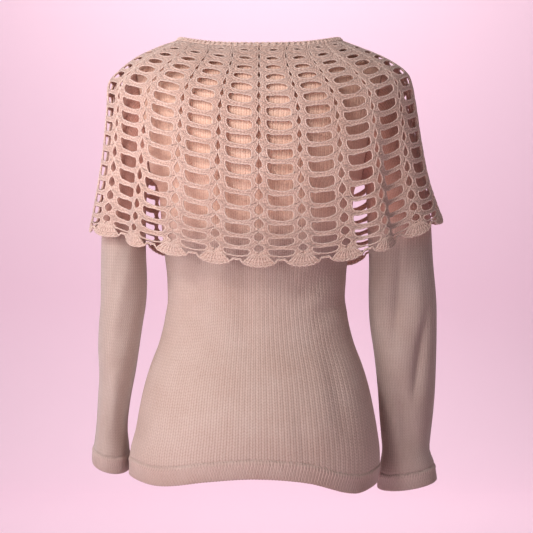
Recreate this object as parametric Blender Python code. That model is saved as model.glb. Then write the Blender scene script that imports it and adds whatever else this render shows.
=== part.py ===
"""Crochet top: a fine-knit pullover with a round crochet cape collar.

The garment is filled out as if worn, with nobody in it.  Sizes are in metres and +Z is up.  The back of
the garment faces -Y and its own left side is at -X.  The origin lies midway between the two points where
the shoulders meet the neck, which is where the top hangs from its wearer.

Every piece is a wall of cloth.  Its outer face is a grid of points worked out from the tables below, and
its inner face is the same grid moved in along the cloth's normals.  Pieces that meet at a seam use one
shared normal there, so their rims lie face to face, a seam's width apart.
"""

import math
from collections import namedtuple
from functools import lru_cache

import bmesh
import bpy
from mathutils import Vector

# Cloth
KNIT = 0.0020                # wall of the stockinette body and sleeves
BAND_LIFT = 0.0008           # the turned bands stand out from the cloth by this
BAND_RIDGE = 0.0014          # and this at the ridge along their top
BAND = 0.0034                # wall of a turned band
CROCHET = 0.0036             # wall of the cape and its scalloped edge
SEAM = 0.0003                # space between pieces

# Body
SECTION = 2.3                # superellipse exponent of the body's and the cape's plan
PANEL_SPANS = 17             # columns of cloth across each panel: 3 on each shoulder, 11 at the neck
SHOULDER_SPANS = 3
HEM_HEIGHT = 0.022
LEVEL_SPANS = 10             # rows from the hem band to the start of the armpit's arch
ARCH_START = -0.210
ARCH = (-0.197, -0.190)      # rows where the side turns out towards the armpit

# Armhole, an oval from the armpit to the tip of the shoulder
ARMPIT = Vector((0.141, 0.0, -0.184))
SHOULDER_TIP = Vector((0.166, 0.0, -0.032))
ARMHOLE_BACK = 0.062         # how far the oval reaches behind the side line
ARMHOLE_FRONT = 0.066
ARMHOLE_SPANS = 8            # from the armpit to the tip, on each panel
LEAN = 0.004                 # the shoulders sit this far to the right of the hips

# Neck
NECK_HALF = 0.110            # from the centre to where the shoulder meets the neck, at the origin's height
SHOULDER_CREST = 0.025       # height of the shoulder line's curve carried on over the neck opening
NECK_DROP_BACK = 0.014
NECK_DROP_FRONT = 0.020
NECK_EDGE_RISE = 0.0085      # height of the single-crochet edge up its slope
NECK_EDGE_ROUND = 0.0004     # it is this much slimmer on each side above its seam
NECK_EDGE_OUT = 0.0046       # it covers the cape's rim outside and the panel's rim inside
CAPE_OFF_PANEL = 0.0010      # the cape's inner face starts this far outside the panel

TorsoRow = namedtuple("TorsoRow", "height left right back front")
TORSO = (
    TorsoRow(-0.625, 0.1705, 0.1590, 0.118, 0.104),
    TorsoRow(-0.595, 0.1705, 0.1610, 0.120, 0.104),
    TorsoRow(-0.572, 0.1708, 0.1655, 0.122, 0.105),
    TorsoRow(-0.544, 0.1688, 0.1654, 0.124, 0.106),
    TorsoRow(-0.518, 0.1620, 0.1620, 0.124, 0.105),
    TorsoRow(-0.490, 0.1570, 0.1570, 0.120, 0.102),
    TorsoRow(-0.460, 0.1505, 0.1505, 0.112, 0.098),
    TorsoRow(-0.432, 0.1420, 0.1420, 0.103, 0.095),
    TorsoRow(-0.400, 0.1300, 0.1300, 0.092, 0.093),
    TorsoRow(-0.360, 0.1210, 0.1210, 0.085, 0.093),
    TorsoRow(-0.328, 0.1190, 0.1190, 0.086, 0.097),
    TorsoRow(-0.292, 0.1226, 0.1226, 0.093, 0.105),
    TorsoRow(-0.250, 0.1270, 0.1270, 0.104, 0.117),
    TorsoRow(-0.210, 0.1300, 0.1300, 0.113, 0.1265),
    TorsoRow(-0.197, 0.1318, 0.1318, 0.1155, 0.1275),
    TorsoRow(-0.190, 0.1345, 0.1345, 0.1165, 0.1275),
    TorsoRow(-0.184, 0.1410, 0.1410, 0.117, 0.1275),
    TorsoRow(-0.150, 0.1500, 0.1500, 0.118, 0.124),
    TorsoRow(-0.110, 0.1600, 0.1600, 0.116, 0.115),
    TorsoRow(-0.085, 0.1640, 0.1640, 0.110, 0.106),
    TorsoRow(-0.060, 0.1660, 0.1660, 0.098, 0.094),
    TorsoRow(-0.042, 0.1660, 0.1660, 0.085, 0.083),
    TorsoRow(-0.020, 0.1480, 0.1480, 0.065, 0.069),
    TorsoRow(-0.014, 0.1360, 0.1360, 0.059, 0.063),
    TorsoRow(0.000, 0.1100, 0.1100, 0.047, 0.050),
    TorsoRow(0.010, 0.0850, 0.0850, 0.038, 0.040),
)

# The back hem rises at the centre over the seat.  Shares run from -1 at the left seam to 1 at the right.
HemRow = namedtuple("HemRow", "share back front")
HEM = (
    HemRow(-1.00, -0.578, -0.578),
    HemRow(-0.74, -0.584, -0.586),
    HemRow(-0.35, -0.575, -0.592),
    HemRow(0.00, -0.571, -0.594),
    HemRow(0.40, -0.577, -0.595),
    HemRow(0.80, -0.595, -0.595),
    HemRow(1.00, -0.589, -0.589),
)

# Sleeves: x of the outer and inner edge, half the depth from back to front, and how far forward they sit
SLEEVE_SPANS = 9             # rows from the upper arm to the cuff
BICEP = -0.235               # where the sleeve's cap ends and it hangs straight
CAP_STEPS = (0.14, 0.30, 0.52, 0.76)
CUFF_HEIGHT = 0.020
CUFF_BACK_DROP = 0.11        # slope of the cuff's edge, lower at the back
CAP_OUT_ARMPIT = 0.026       # how far the cap's curve sets out sideways from the armhole
CAP_OUT_TIP = 0.100
CAP_FALL_TIP = 0.030         # and how much it falls in doing so at the tip
CAP_SPREAD = {"left": 0.012, "right": 0.030}    # how much wider it is still growing at the upper arm
CAP_DOWN_ARMPIT = 0.060      # how firmly it turns down into the upper arm
CAP_DOWN_TIP = 0.175

SleeveRow = namedtuple("SleeveRow", "height outer inner depth forward")
SLEEVES = {
    "left": (
        SleeveRow(-0.235, -0.2070, -0.1500, 0.052, 0.000),
        SleeveRow(-0.278, -0.2086, -0.1500, 0.052, 0.000),
        SleeveRow(-0.321, -0.2092, -0.1486, 0.051, 0.001),
        SleeveRow(-0.351, -0.2098, -0.1502, 0.050, 0.003),
        SleeveRow(-0.381, -0.2125, -0.1553, 0.050, 0.006),
        SleeveRow(-0.4135, -0.2136, -0.1602, 0.050, 0.009),
        SleeveRow(-0.445, -0.2127, -0.1655, 0.051, 0.015),
        SleeveRow(-0.476, -0.2148, -0.1719, 0.051, 0.020),
        SleeveRow(-0.508, -0.2172, -0.1767, 0.051, 0.026),
        SleeveRow(-0.528, -0.2195, -0.1775, 0.051, 0.030),
        SleeveRow(-0.544, -0.2220, -0.1759, 0.051, 0.032),
        SleeveRow(-0.557, -0.2245, -0.1751, 0.052, 0.033),
        SleeveRow(-0.585, -0.2230, -0.1740, 0.052, 0.035),
    ),
    "right": (
        SleeveRow(-0.235, 0.2345, 0.1500, 0.043, 0.000),
        SleeveRow(-0.292, 0.2375, 0.1524, 0.041, 0.000),
        SleeveRow(-0.343, 0.2423, 0.1522, 0.039, 0.003),
        SleeveRow(-0.377, 0.2434, 0.1540, 0.038, 0.007),
        SleeveRow(-0.422, 0.2435, 0.1607, 0.037, 0.014),
        SleeveRow(-0.468, 0.2429, 0.1661, 0.037, 0.024),
        SleeveRow(-0.502, 0.2411, 0.1688, 0.036, 0.032),
        SleeveRow(-0.534, 0.2384, 0.1720, 0.036, 0.040),
        SleeveRow(-0.552, 0.2376, 0.1735, 0.036, 0.042),
        SleeveRow(-0.568, 0.2434, 0.1714, 0.037, 0.044),
        SleeveRow(-0.592, 0.2479, 0.1675, 0.038, 0.046),
        SleeveRow(-0.615, 0.2480, 0.1670, 0.038, 0.047),
    ),
}
# The cuff's edge where it crosses the middle of the sleeve, and how it slopes outwards
CuffLine = namedtuple("CuffLine", "height slope")
CUFF_LINES = {"left": CuffLine(-0.5715, 0.236), "right": CuffLine(-0.5995, 0.153)}

# The sleeves' long soft folds: where each starts and ends (height, and turns from the inner edge by way
# of the back), its depth and its half-width
SleeveFold = namedtuple("SleeveFold", "side top top_turn bottom bottom_turn depth width")
SLEEVE_FOLDS = (
    SleeveFold("right", -0.250, 0.30, -0.420, 0.17, 0.0050, 0.060),
    SleeveFold("right", -0.370, 0.36, -0.500, 0.26, 0.0045, 0.055),
    SleeveFold("right", -0.450, 0.16, -0.560, 0.30, 0.0035, 0.050),
    SleeveFold("left", -0.300, 0.16, -0.440, 0.24, 0.0040, 0.050),
    SleeveFold("left", -0.430, 0.34, -0.540, 0.22, 0.0035, 0.050),
    SleeveFold("right", -0.300, 0.70, -0.450, 0.82, 0.0045, 0.060),
    SleeveFold("left", -0.320, 0.80, -0.470, 0.70, 0.0045, 0.060),
)

# Cape: the run of cloth from the neck seam down each of four lines, with the place it has there
CAPE_REPEATS = 22
CAPE_LENGTH = 0.299
CAPE_CENTRE = 0.004          # x of the narrow column at the centre back
SETTLE = 0.045               # run over which the cape leaves the neck's own line
CAPE_LIFT_LEFT = 1.6         # how the hem climbs from centre to side, as a power of the share across
CAPE_LIFT_RIGHT = 2.5
RING_STEPS = 180             # steps used to measure the way round the cape
TURN_ASIDE = 0.01            # steps used to find which way the cape's cloth lies: an angle, part of a
ASIDE = 0.10                 # repeat and a run
DOWN = 0.004

CapeRow = namedtuple("CapeRow", "run left left_z right right_z back back_z front front_z")
CAPE = (
    CapeRow(0.000, 0.108, 0.004, 0.114, 0.004, 0.0625, -0.0110, 0.0733, -0.0168),
    CapeRow(0.025, 0.131, -0.0045, 0.137, -0.0045, 0.0806, -0.0283, 0.0890, -0.0360),
    CapeRow(0.060, 0.163, -0.020, 0.168, -0.017, 0.1020, -0.0552, 0.1070, -0.0660),
    CapeRow(0.090, 0.1865, -0.0385, 0.194, -0.032, 0.1162, -0.0816, 0.1200, -0.0930),
    CapeRow(0.110, 0.1995, -0.054, 0.207, -0.046, 0.1210, -0.1010, 0.1270, -0.1120),
    CapeRow(0.140, 0.2018, -0.084, 0.214, -0.076, 0.1263, -0.1304, 0.1340, -0.1410),
    CapeRow(0.200, 0.2070, -0.143, 0.223, -0.135, 0.1322, -0.1900, 0.1405, -0.2007),
    CapeRow(0.250, 0.2145, -0.193, 0.233, -0.184, 0.1332, -0.2400, 0.1415, -0.2507),
    CapeRow(0.299, 0.2230, -0.241, 0.248, -0.228, 0.1340, -0.2890, 0.1410, -0.2997),
)

# Folds of the cape: the column each follows, how far it goes in (or out, if negative) at the hem, its
# half-width in repeats, and the run where it begins
CapeFold = namedtuple("CapeFold", "column depth width start")
CAPE_FOLDS = (
    CapeFold(-3.50, 0.016, 0.45, 0.120),
    CapeFold(-3.00, -0.005, 0.35, 0.120),
    CapeFold(3.50, 0.016, 0.45, 0.100),
    CapeFold(3.00, -0.006, 0.35, 0.100),
    CapeFold(-1.50, 0.003, 0.60, 0.180),
    CapeFold(1.50, 0.003, 0.60, 0.180),
    CapeFold(7.40, 0.014, 0.50, 0.110),
    CapeFold(-7.60, 0.014, 0.50, 0.110),
    CapeFold(9.50, 0.003, 0.60, 0.180),
    CapeFold(-9.50, 0.003, 0.60, 0.180),
)

# Openwork: each repeat is a narrow rib and a ladder of holes, one to a round
CUT_ROUNDS = 13              # the lowest rounds are cut through; the small gaps above them are not
HOLE_SAG = 0.0022            # the chain below a hole hangs this much at its middle
HOLE_ARCH = 0.0009           # and the one above it this much
RoundRow = namedtuple("RoundRow", "number pitch hole_height hole_width")
ROUNDS = (
    RoundRow(0, 19.0, 0.35, 0.43),
    RoundRow(3, 16.5, 0.48, 0.50),
    RoundRow(8, 18.0, 0.56, 0.62),
    RoundRow(11, 20.0, 0.60, 0.64),
    RoundRow(14, 16.5, 0.60, 0.63),
    RoundRow(16, 12.5, 0.56, 0.62),
)
ROUND_COUNT = 17

# Scalloped edge
SCALLOP_LOW = 0.0135         # below the cape, under the middle of a fan
SCALLOP_HIGH = 0.0055        # and between fans
SCALLOP_HALF = 0.40          # half a fan's width, in repeats
SEAM_REPEATS = (-5, 6, 17)   # the ribs where the cape's halves meet

COLOURS = {
    "knit": (0.56, 0.37, 0.34, 1.0),
    "band": (0.50, 0.33, 0.30, 1.0),
    "crochet": (0.68, 0.44, 0.38, 1.0),
}


def reading(table, key, column):
    """Read a column of a table at a key, along a smooth curve through its rows."""
    rows = table if table[0][0] < table[-1][0] else table[::-1]
    last = len(rows) - 1
    key = min(max(key, rows[0][0]), rows[last][0])
    index = next(i for i in range(last) if key <= rows[i + 1][0] or i == last - 1)

    def slope(i):
        low, high = max(i - 1, 0), min(i + 1, last)
        return (getattr(rows[high], column) - getattr(rows[low], column)) / (rows[high][0] - rows[low][0])

    span = rows[index + 1][0] - rows[index][0]
    share = (key - rows[index][0]) / span
    return hermite(getattr(rows[index], column), getattr(rows[index + 1], column),
                   slope(index) * span, slope(index + 1) * span, share)


def hermite(start, end, leaving, arriving, share):
    """A cubic from start to end with the given directions at its ends; numbers or vectors."""
    square = share * share
    cube = square * share
    return (start * (2 * cube - 3 * square + 1) + leaving * (cube - 2 * square + share)
            + end * (3 * square - 2 * cube) + arriving * (cube - square))


def blend(start, end, share):
    return start + (end - start) * share


def smooth(share):
    """Ease from 0 to 1."""
    share = min(max(share, 0.0), 1.0)
    return share * share * (3 - 2 * share)


def signed_power(value, power):
    return math.copysign(abs(value) ** power, value)


def armhole_point(step, side, face):
    """A point on the armhole's oval; step 0 is the armpit and ARMHOLE_SPANS the shoulder's tip."""
    angle = math.pi * step / ARMHOLE_SPANS
    rise = (1 - math.cos(angle)) / 2
    reach = ARMHOLE_BACK if face == "back" else ARMHOLE_FRONT
    depth = reach * math.sin(angle) * (-1 if face == "back" else 1)
    height = blend(ARMPIT.z, SHOULDER_TIP.z, rise)
    half = blend(ARMPIT.x, SHOULDER_TIP.x, rise ** 1.5)
    return Vector((lean(height) + side * half, depth, height))


def lean(height):
    return LEAN * smooth((height - ARMPIT.z) / (SHOULDER_TIP.z - ARMPIT.z))


def half_width(height, side, face):
    """Half the body's width at a height, on the left (-1) or right (1)."""
    if height <= ARMPIT.z:
        return reading(TORSO, height, "left" if side < 0 else "right")
    if height >= SHOULDER_TIP.z:
        fall = (SHOULDER_CREST - height) / (SHOULDER_CREST - SHOULDER_TIP.z)
        return SHOULDER_TIP.x * math.sqrt(max(fall, 0.0))
    rise = (height - ARMPIT.z) / (SHOULDER_TIP.z - ARMPIT.z)
    half = blend(ARMPIT.x, SHOULDER_TIP.x, rise ** 1.5)
    reach = (ARMHOLE_BACK if face == "back" else ARMHOLE_FRONT) * 2 * math.sqrt(rise * (1 - rise))
    filled = (reach / reading(TORSO, height, face)) ** SECTION
    return half / (1 - filled) ** (1 / SECTION)


def body_point(offset, height, face):
    """The cloth at a sideways offset from the body's middle line and a height, on one face."""
    half = half_width(height, math.copysign(1, offset), face)
    across = min(abs(offset) / half, 1.0)
    depth = reading(TORSO, height, face) * (1 - across ** SECTION) ** (1 / SECTION)
    return Vector((lean(height) + offset, depth if face == "front" else -depth, height))


def share_across(column):
    """Where a panel's column stands in a level row: -1 at its left edge, 1 at its right."""
    turn = math.pi / 2 * (2 * column / PANEL_SPANS - 1)
    return signed_power(math.sin(turn), 2 / SECTION)


def top_place(column, face):
    """Offset and height of a column's top end, on the shoulder seam or the neck's edge."""
    inner = PANEL_SPANS - 2 * SHOULDER_SPANS
    if SHOULDER_SPANS <= column <= SHOULDER_SPANS + inner:
        turn = math.pi * ((column - SHOULDER_SPANS) / inner - 0.5)
        share = signed_power(math.sin(turn), 2 / SECTION)
        drop = NECK_DROP_BACK if face == "back" else NECK_DROP_FRONT
        return share * NECK_HALF, -drop * (1 - abs(share) ** 3)
    steps = column if column < SHOULDER_SPANS else PANEL_SPANS - column
    offset = blend(SHOULDER_TIP.x, NECK_HALF, steps / SHOULDER_SPANS)
    fall = (offset / SHOULDER_TIP.x) ** 2
    height = SHOULDER_CREST - (SHOULDER_CREST - SHOULDER_TIP.z) * fall
    return math.copysign(offset, column - PANEL_SPANS / 2), height


def upper_point(column, step, face):
    """A point above the armpits, on one of the rows that run from armhole to armhole."""
    share = share_across(column)
    offset_top, height_top = top_place(column, face)
    if column in (0, PANEL_SPANS):
        return armhole_point(step, math.copysign(1, share), face)
    if step == ARMHOLE_SPANS and (column <= SHOULDER_SPANS or column >= PANEL_SPANS - SHOULDER_SPANS):
        return Vector((lean(height_top) + offset_top, 0.0, height_top))
    even = step / ARMHOLE_SPANS
    oval = (1 - math.cos(math.pi * even)) / 2
    height = blend(ARMPIT.z, height_top, blend(even, oval, share * share))
    edge = blend(ARMPIT.x, SHOULDER_TIP.x, oval ** 1.5) - blend(ARMPIT.x, SHOULDER_TIP.x, even)
    offset = blend(ARMPIT.x * share, offset_top, even) + edge * signed_power(share, 5)
    return body_point(offset, height, face)


def level_point(column, height, face):
    share = share_across(column)
    return body_point(half_width(height, math.copysign(1, share), face) * share, height, face)


def panel_grid(face):
    """Rows of points from the hem's edge to the shoulders; rows 0 to 2 are the hem band."""
    columns = range(PANEL_SPANS + 1) if face == "back" else range(PANEL_SPANS, -1, -1)
    hem = {c: reading(HEM, share_across(c), face) for c in columns}
    rows = [[level_point(c, hem[c] + rise, face) for c in columns] for rise in (0, HEM_HEIGHT / 2)]
    for step in range(LEVEL_SPANS + 1):
        rows.append([level_point(c, blend(hem[c] + HEM_HEIGHT, ARCH_START, step / LEVEL_SPANS), face)
                     for c in columns])
    rows += [[level_point(c, height, face) for c in columns] for height in ARCH]
    rows += [[upper_point(c, step, face) for c in columns] for step in range(ARMHOLE_SPANS + 1)]
    return rows


def fold_depth(side, height, turn):
    """How far the long folds press a sleeve in at a height and turn."""
    depth = 0.0
    for fold in SLEEVE_FOLDS:
        if fold.side != side or not fold.bottom < height < fold.top:
            continue
        along = (fold.top - height) / (fold.top - fold.bottom)
        middle = blend(fold.top_turn, fold.bottom_turn, along)
        beside = (turn - middle) / fold.width
        depth += fold.depth * math.sin(math.pi * along) * math.exp(-beside * beside)
    return depth


def sleeve_point(side, turn, height):
    """A point on the hanging part of a sleeve; turn 0 is its inner edge, a quarter its back."""
    table = SLEEVES[side]
    outer = reading(table, height, "outer")
    inner = reading(table, height, "inner")
    depth = reading(table, height, "depth")
    angle = 2 * math.pi * turn
    pressed = 1 - fold_depth(side, height, turn) / min(depth, abs(outer - inner) / 2)
    middle = Vector(((outer + inner) / 2, reading(table, height, "forward"), height))
    return middle + Vector(((inner - outer) / 2 * math.cos(angle), -depth * math.sin(angle), 0)) * pressed


def cuff_height(side, turn, rise):
    """Height of the cuff's edge at a turn, or of a line a given rise above it."""
    line = CUFF_LINES[side]
    point = sleeve_point(side, turn, line.height)
    middle = (sleeve_point(side, 0, line.height) + sleeve_point(side, 0.5, line.height)) / 2
    outwards = abs(point.x) - abs(middle.x)
    backwards = middle.y - point.y
    return line.height + line.slope * outwards - CUFF_BACK_DROP * backwards + rise


def sleeve_grid(side):
    """Rings of points from the armhole to the cuff's edge; the last three are the cuff."""
    sign = -1 if side == "left" else 1
    back = [armhole_point(step, sign, "back") for step in range(ARMHOLE_SPANS)]
    front = [armhole_point(step, sign, "front") for step in range(ARMHOLE_SPANS, 0, -1)]
    armhole = back + front
    count = len(armhole)
    bicep = [sleeve_point(side, j / count, BICEP) for j in range(count)]
    rings = [armhole]
    for step in CAP_STEPS:
        ring = []
        for j, (start, end) in enumerate(zip(armhole, bicep)):
            up = (1 - math.cos(2 * math.pi * j / count)) / 2
            out = Vector((sign * blend(CAP_OUT_ARMPIT, CAP_OUT_TIP, up), 0, -CAP_FALL_TIP * up))
            down = Vector((sign * CAP_SPREAD[side] * up, 0, -blend(CAP_DOWN_ARMPIT, CAP_DOWN_TIP, up)))
            ring.append(hermite(start, end, out, down, step))
        rings.append(ring)
    tops = [cuff_height(side, j / count, CUFF_HEIGHT) for j in range(count)]
    for step in range(SLEEVE_SPANS + 1):
        rings.append([sleeve_point(side, j / count, blend(BICEP, tops[j], step / SLEEVE_SPANS))
                      for j in range(count)])
    for rise in (CUFF_HEIGHT / 2, 0):
        rings.append([sleeve_point(side, j / count, cuff_height(side, j / count, rise))
                      for j in range(count)])
    if side == "right":
        rings = [ring[:1] + ring[:0:-1] for ring in rings]
    return rings


def shared_normals(panels, tubes):
    """The outward normal at each point, averaged over all the cloth that meets there."""
    sums = {}
    for grid, closed in [(g, False) for g in panels] + [(g, True) for g in tubes]:
        count = len(grid[0])
        for low, high in zip(grid, grid[1:]):
            for c in range(count if closed else count - 1):
                d = (c + 1) % count
                corners = (low[c], low[d], high[d], high[c])
                face = (corners[2] - corners[0]).cross(corners[3] - corners[1])
                for corner in corners:
                    key = place_key(corner)
                    sums[key] = sums.get(key, Vector()) + face
    return {key: total.normalized() for key, total in sums.items()}


def place_key(point):
    return tuple(round(value, 6) for value in point)


def drawn_back(point, along, normal, inside):
    """The point moved half a seam square to the edge that runs along, towards a point inside the piece."""
    away = along.cross(normal).normalized()
    return point + away * math.copysign(SEAM / 2, away.dot(inside - point))


def drawn_in(grid, normals, closed=False):
    """The same grid with its edges drawn back by half a seam."""
    last, count = len(grid) - 1, len(grid[0])
    drawn = [[point.copy() for point in row] for row in grid]
    for r, row in enumerate(grid):
        for c in range(count):
            if r in (0, last):
                after, before = (c + 1) % count, c - 1
                if not closed:
                    after, before = min(c + 1, count - 1), max(c - 1, 0)
                inside = grid[1 if r == 0 else last - 1][c]
                drawn[r][c] = drawn_back(drawn[r][c], row[after] - row[before], normals[r][c], inside)
            if not closed and c in (0, count - 1):
                edge = grid[min(r + 1, last)][c] - grid[max(r - 1, 0)][c]
                drawn[r][c] = drawn_back(drawn[r][c], edge, normals[r][c], row[1 if c == 0 else count - 2])
    return drawn


def wall(name, outer, inner, material, closed=False, is_cloth=None):
    """Join an outer and an inner grid into one closed wall.  Cells that is_cloth refuses are cut out."""
    count = len(outer[0])
    spans = count if closed else count - 1
    cells = [(r, c) for r in range(len(outer) - 1) for c in range(spans)]
    if is_cloth:
        cells = [cell for cell in cells if is_cloth(*cell)]
    filled = set(cells)
    shape = bmesh.new()
    skins = [[[shape.verts.new(point) for point in row] for row in grid] for grid in (outer, inner)]
    for r, c in cells:
        d = (c + 1) % count
        corners = ((r, c), (r, d), (r + 1, d), (r + 1, c))
        shape.faces.new([skins[0][i][j] for i, j in corners])
        shape.faces.new([skins[1][i][j] for i, j in reversed(corners)])
        for side, (dr, dc) in enumerate(((-1, 0), (0, 1), (1, 0), (0, -1))):
            beside = (r + dr, (c + dc) % spans if closed else c + dc)
            if beside not in filled:
                (i, j), (k, m) = corners[side], corners[(side + 1) % 4]
                shape.faces.new((skins[0][k][m], skins[0][i][j], skins[1][i][j], skins[1][k][m]))
    bmesh.ops.delete(shape, geom=[v for v in shape.verts if not v.link_faces], context="VERTS")
    bmesh.ops.recalc_face_normals(shape, faces=shape.faces)
    mesh = bpy.data.meshes.new(name)
    shape.to_mesh(mesh)
    shape.free()
    mesh.materials.append(material)
    mesh.shade_smooth()
    bpy.data.collections["crochet_top"].objects.link(bpy.data.objects.new(name, mesh))


def cloth_wall(name, grid, normals, material, lifts, thickness, closed=False):
    """A wall on part of a panel or sleeve.  lifts gives how far each row stands out from the cloth."""
    own = [[normals[place_key(point)] for point in row] for row in grid]
    base = drawn_in(grid, own, closed)
    depth = thickness - min(lifts)
    outer = [[p + n * lift for p, n in zip(row, row_n)] for row, row_n, lift in zip(base, own, lifts)]
    inner = [[p - n * depth for p, n in zip(row, row_n)] for row, row_n in zip(base, own)]
    wall(name, outer, inner, material, closed)


def build_pullover(materials):
    """Panels, sleeves and turned bands.  Returns the neck's edge as points and normals, from the centre
    back round by the right shoulder."""
    panels = {face: panel_grid(face) for face in ("back", "front")}
    sleeves = {side: sleeve_grid(side) for side in ("left", "right")}
    normals = shared_normals(panels.values(), sleeves.values())
    bands = (BAND_LIFT, BAND_LIFT, BAND_RIDGE)
    for face, grid in panels.items():
        cloth_wall(f"{face}_panel", grid[2:], normals, materials["knit"], [0] * (len(grid) - 2), KNIT)
        cloth_wall(f"hem_{face}", grid[:3], normals, materials["band"], bands, BAND)
    for side, grid in sleeves.items():
        cloth_wall(f"sleeve_{side}", grid[:-2], normals, materials["knit"], [0] * (len(grid) - 2), KNIT, True)
        cloth_wall(f"cuff_{side}", grid[-3:], normals, materials["band"], bands[::-1], BAND, True)
    edges = [grid[-1][SHOULDER_SPANS:-SHOULDER_SPANS] for grid in (panels["back"], panels["front"])]
    loop = edges[0][:-1] + edges[1][:-1]
    return [(point, normals[place_key(point)]) for point in loop]


def neck_place(neck, column, out):
    """The neck's edge at a column of the cape, moved out from the knit cloth."""
    count = len(neck)
    along = (column + count / 4) % count
    index = int(along)
    ends = [point + normal * out for point, normal in (neck[index], neck[(index + 1) % count])]
    return blend(ends[0], ends[1], along - index)


def build_neck_edge(neck, material):
    """The ring of single crochet that binds the neck."""
    count = len(neck)
    outer, inner = [], []
    for rise in (SEAM / 2, NECK_EDGE_RISE / 2, NECK_EDGE_RISE):
        slimmer = NECK_EDGE_ROUND if rise > SEAM / 2 else 0.0
        rows = ([], [])
        for index, (point, normal) in enumerate(neck):
            along = neck[(index + 1) % count][0] - neck[index - 1][0]
            up = along.cross(normal).normalized()
            if up.z < 0:
                up = -up
            for row, out in zip(rows, (NECK_EDGE_OUT - slimmer, slimmer - KNIT)):
                row.append(point + normal * out + up * rise)
        outer.append(rows[0])
        inner.append(rows[1])
    wall("neck_edge", outer, inner, material, closed=True)


def cape_form(angle, run):
    """The cape before folds: angle 0 is the centre back and a quarter turn the right side."""
    sine, cosine = math.sin(angle), math.cos(angle)
    side = "right" if sine >= 0 else "left"
    face = "back" if cosine >= 0 else "front"
    reach = reading(CAPE, run, side) - CAPE_CENTRE * (1 if sine >= 0 else -1)
    share = abs(sine) ** (2 / SECTION)
    depth = reading(CAPE, run, face) * abs(cosine) ** (2 / SECTION)
    lift = share ** (CAPE_LIFT_RIGHT if sine >= 0 else CAPE_LIFT_LEFT)
    height = blend(reading(CAPE, run, face + "_z"), reading(CAPE, run, side + "_z"), lift)
    return Vector((CAPE_CENTRE + math.copysign(reach * share, sine), depth if cosine < 0 else -depth, height))


@lru_cache(maxsize=None)
def cape_ring(run):
    """The way round the cape at a run: angles and the distance covered at each."""
    angles = [2 * math.pi * i / RING_STEPS for i in range(RING_STEPS + 1)]
    points = [cape_form(angle, run) for angle in angles]
    travelled = [0.0]
    for start, end in zip(points, points[1:]):
        travelled.append(travelled[-1] + (end - start).length)
    return angles, travelled


def cape_angle(column, run):
    """The angle at which a column of the cape stands; columns are spaced evenly round it."""
    angles, travelled = cape_ring(run)
    target = (column / CAPE_REPEATS) % 1.0 * travelled[-1]
    index = next(i for i in range(RING_STEPS) if travelled[i + 1] >= target)
    span = travelled[index + 1] - travelled[index]
    return blend(angles[index], angles[index + 1], (target - travelled[index]) / span)


def cape_fold(column, run):
    """How far the cape's folds move it in at a column and run."""
    total = 0.0
    for fold in CAPE_FOLDS:
        away = (column - fold.column + CAPE_REPEATS / 2) % CAPE_REPEATS - CAPE_REPEATS / 2
        grown = smooth((run - fold.start) / (CAPE_LENGTH - fold.start))
        total += fold.depth * grown * math.exp(-(away / fold.width) ** 2)
    return total


def cape_point(neck, column, run):
    """A point on the cape's outer face."""
    angle = cape_angle(column, run)
    point = cape_form(angle, run)
    beside = cape_form(angle + TURN_ASIDE, run) - cape_form(angle - TURN_ASIDE, run)
    inwards = Vector((-beside.y, beside.x, 0)).normalized()
    point += inwards * cape_fold(column, run)
    if run < SETTLE:
        start = neck_place(neck, column, CAPE_OFF_PANEL + CROCHET)
        point += (start - cape_form(cape_angle(column, 0.0), 0.0)) * (1 - run / SETTLE) ** 2
    return point


def cape_normal(neck, column, run):
    """The cape's outward normal; along the neck it is the knit cloth's own."""
    if run == 0:
        return (neck_place(neck, column, 1.0) - neck_place(neck, column, 0.0)).normalized()
    across = cape_point(neck, column + ASIDE, run) - cape_point(neck, column - ASIDE, run)
    below = min(run + DOWN, CAPE_LENGTH)
    down = cape_point(neck, column, below) - cape_point(neck, column, max(below - 2 * DOWN, run / 2))
    return down.cross(across).normalized()


def round_lines():
    """Runs where the rounds start, scaled so that all of them fill the cape."""
    pitches = [reading(ROUNDS, number, "pitch") for number in range(ROUND_COUNT)]
    scale = CAPE_LENGTH / sum(pitches)
    starts = [0.0]
    for pitch in pitches:
        starts.append(starts[-1] + pitch * scale)
    return starts


def cape_rows():
    """The cape's rows as (run, round whose holes start here or None, sag of the ladder's middle)."""
    starts = round_lines()
    first = ROUND_COUNT - CUT_ROUNDS
    rows = [(run, None, 0.0) for run in starts[:first]]
    for number in range(first, ROUND_COUNT):
        pitch = starts[number + 1] - starts[number]
        solid = pitch * (1 - reading(ROUNDS, number, "hole_height")) / 2
        rows.append((starts[number] + solid, number, HOLE_ARCH))
        rows.append((starts[number + 1] - solid, None, HOLE_SAG))
    return rows + [(CAPE_LENGTH, None, 0.0)]


def rib_half(run):
    """Half the width of a rib, in repeats."""
    starts = round_lines()
    number = min(max(sum(1 for start in starts if start <= run) - 1, 0), ROUND_COUNT - 1)
    return (1 - reading(ROUNDS, number, "hole_width")) / 2


def half_columns(first, last, run):
    """Columns across one half of the cape at a run, with 'rib' or 'ladder' for the span after each."""
    rib = rib_half(run)
    columns = [(first, "rib")]
    for repeat in range(first, last):
        if repeat > first:
            columns.append((repeat - rib, "rib"))
        columns.append((repeat + rib, "ladder"))
        columns.append((repeat + 0.5, "ladder"))
    return columns + [(last - rib, "rib"), (last, "rib")]


def seam_side(neck, column, run, first, last):
    """A point of the cape, drawn back half a seam where the two halves meet."""
    point = cape_point(neck, column, run)
    if column in (first, last):
        inside = cape_point(neck, column + (ASIDE if column == first else -ASIDE), run)
        point += (inside - point).normalized() * SEAM / 2
    return point


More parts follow.
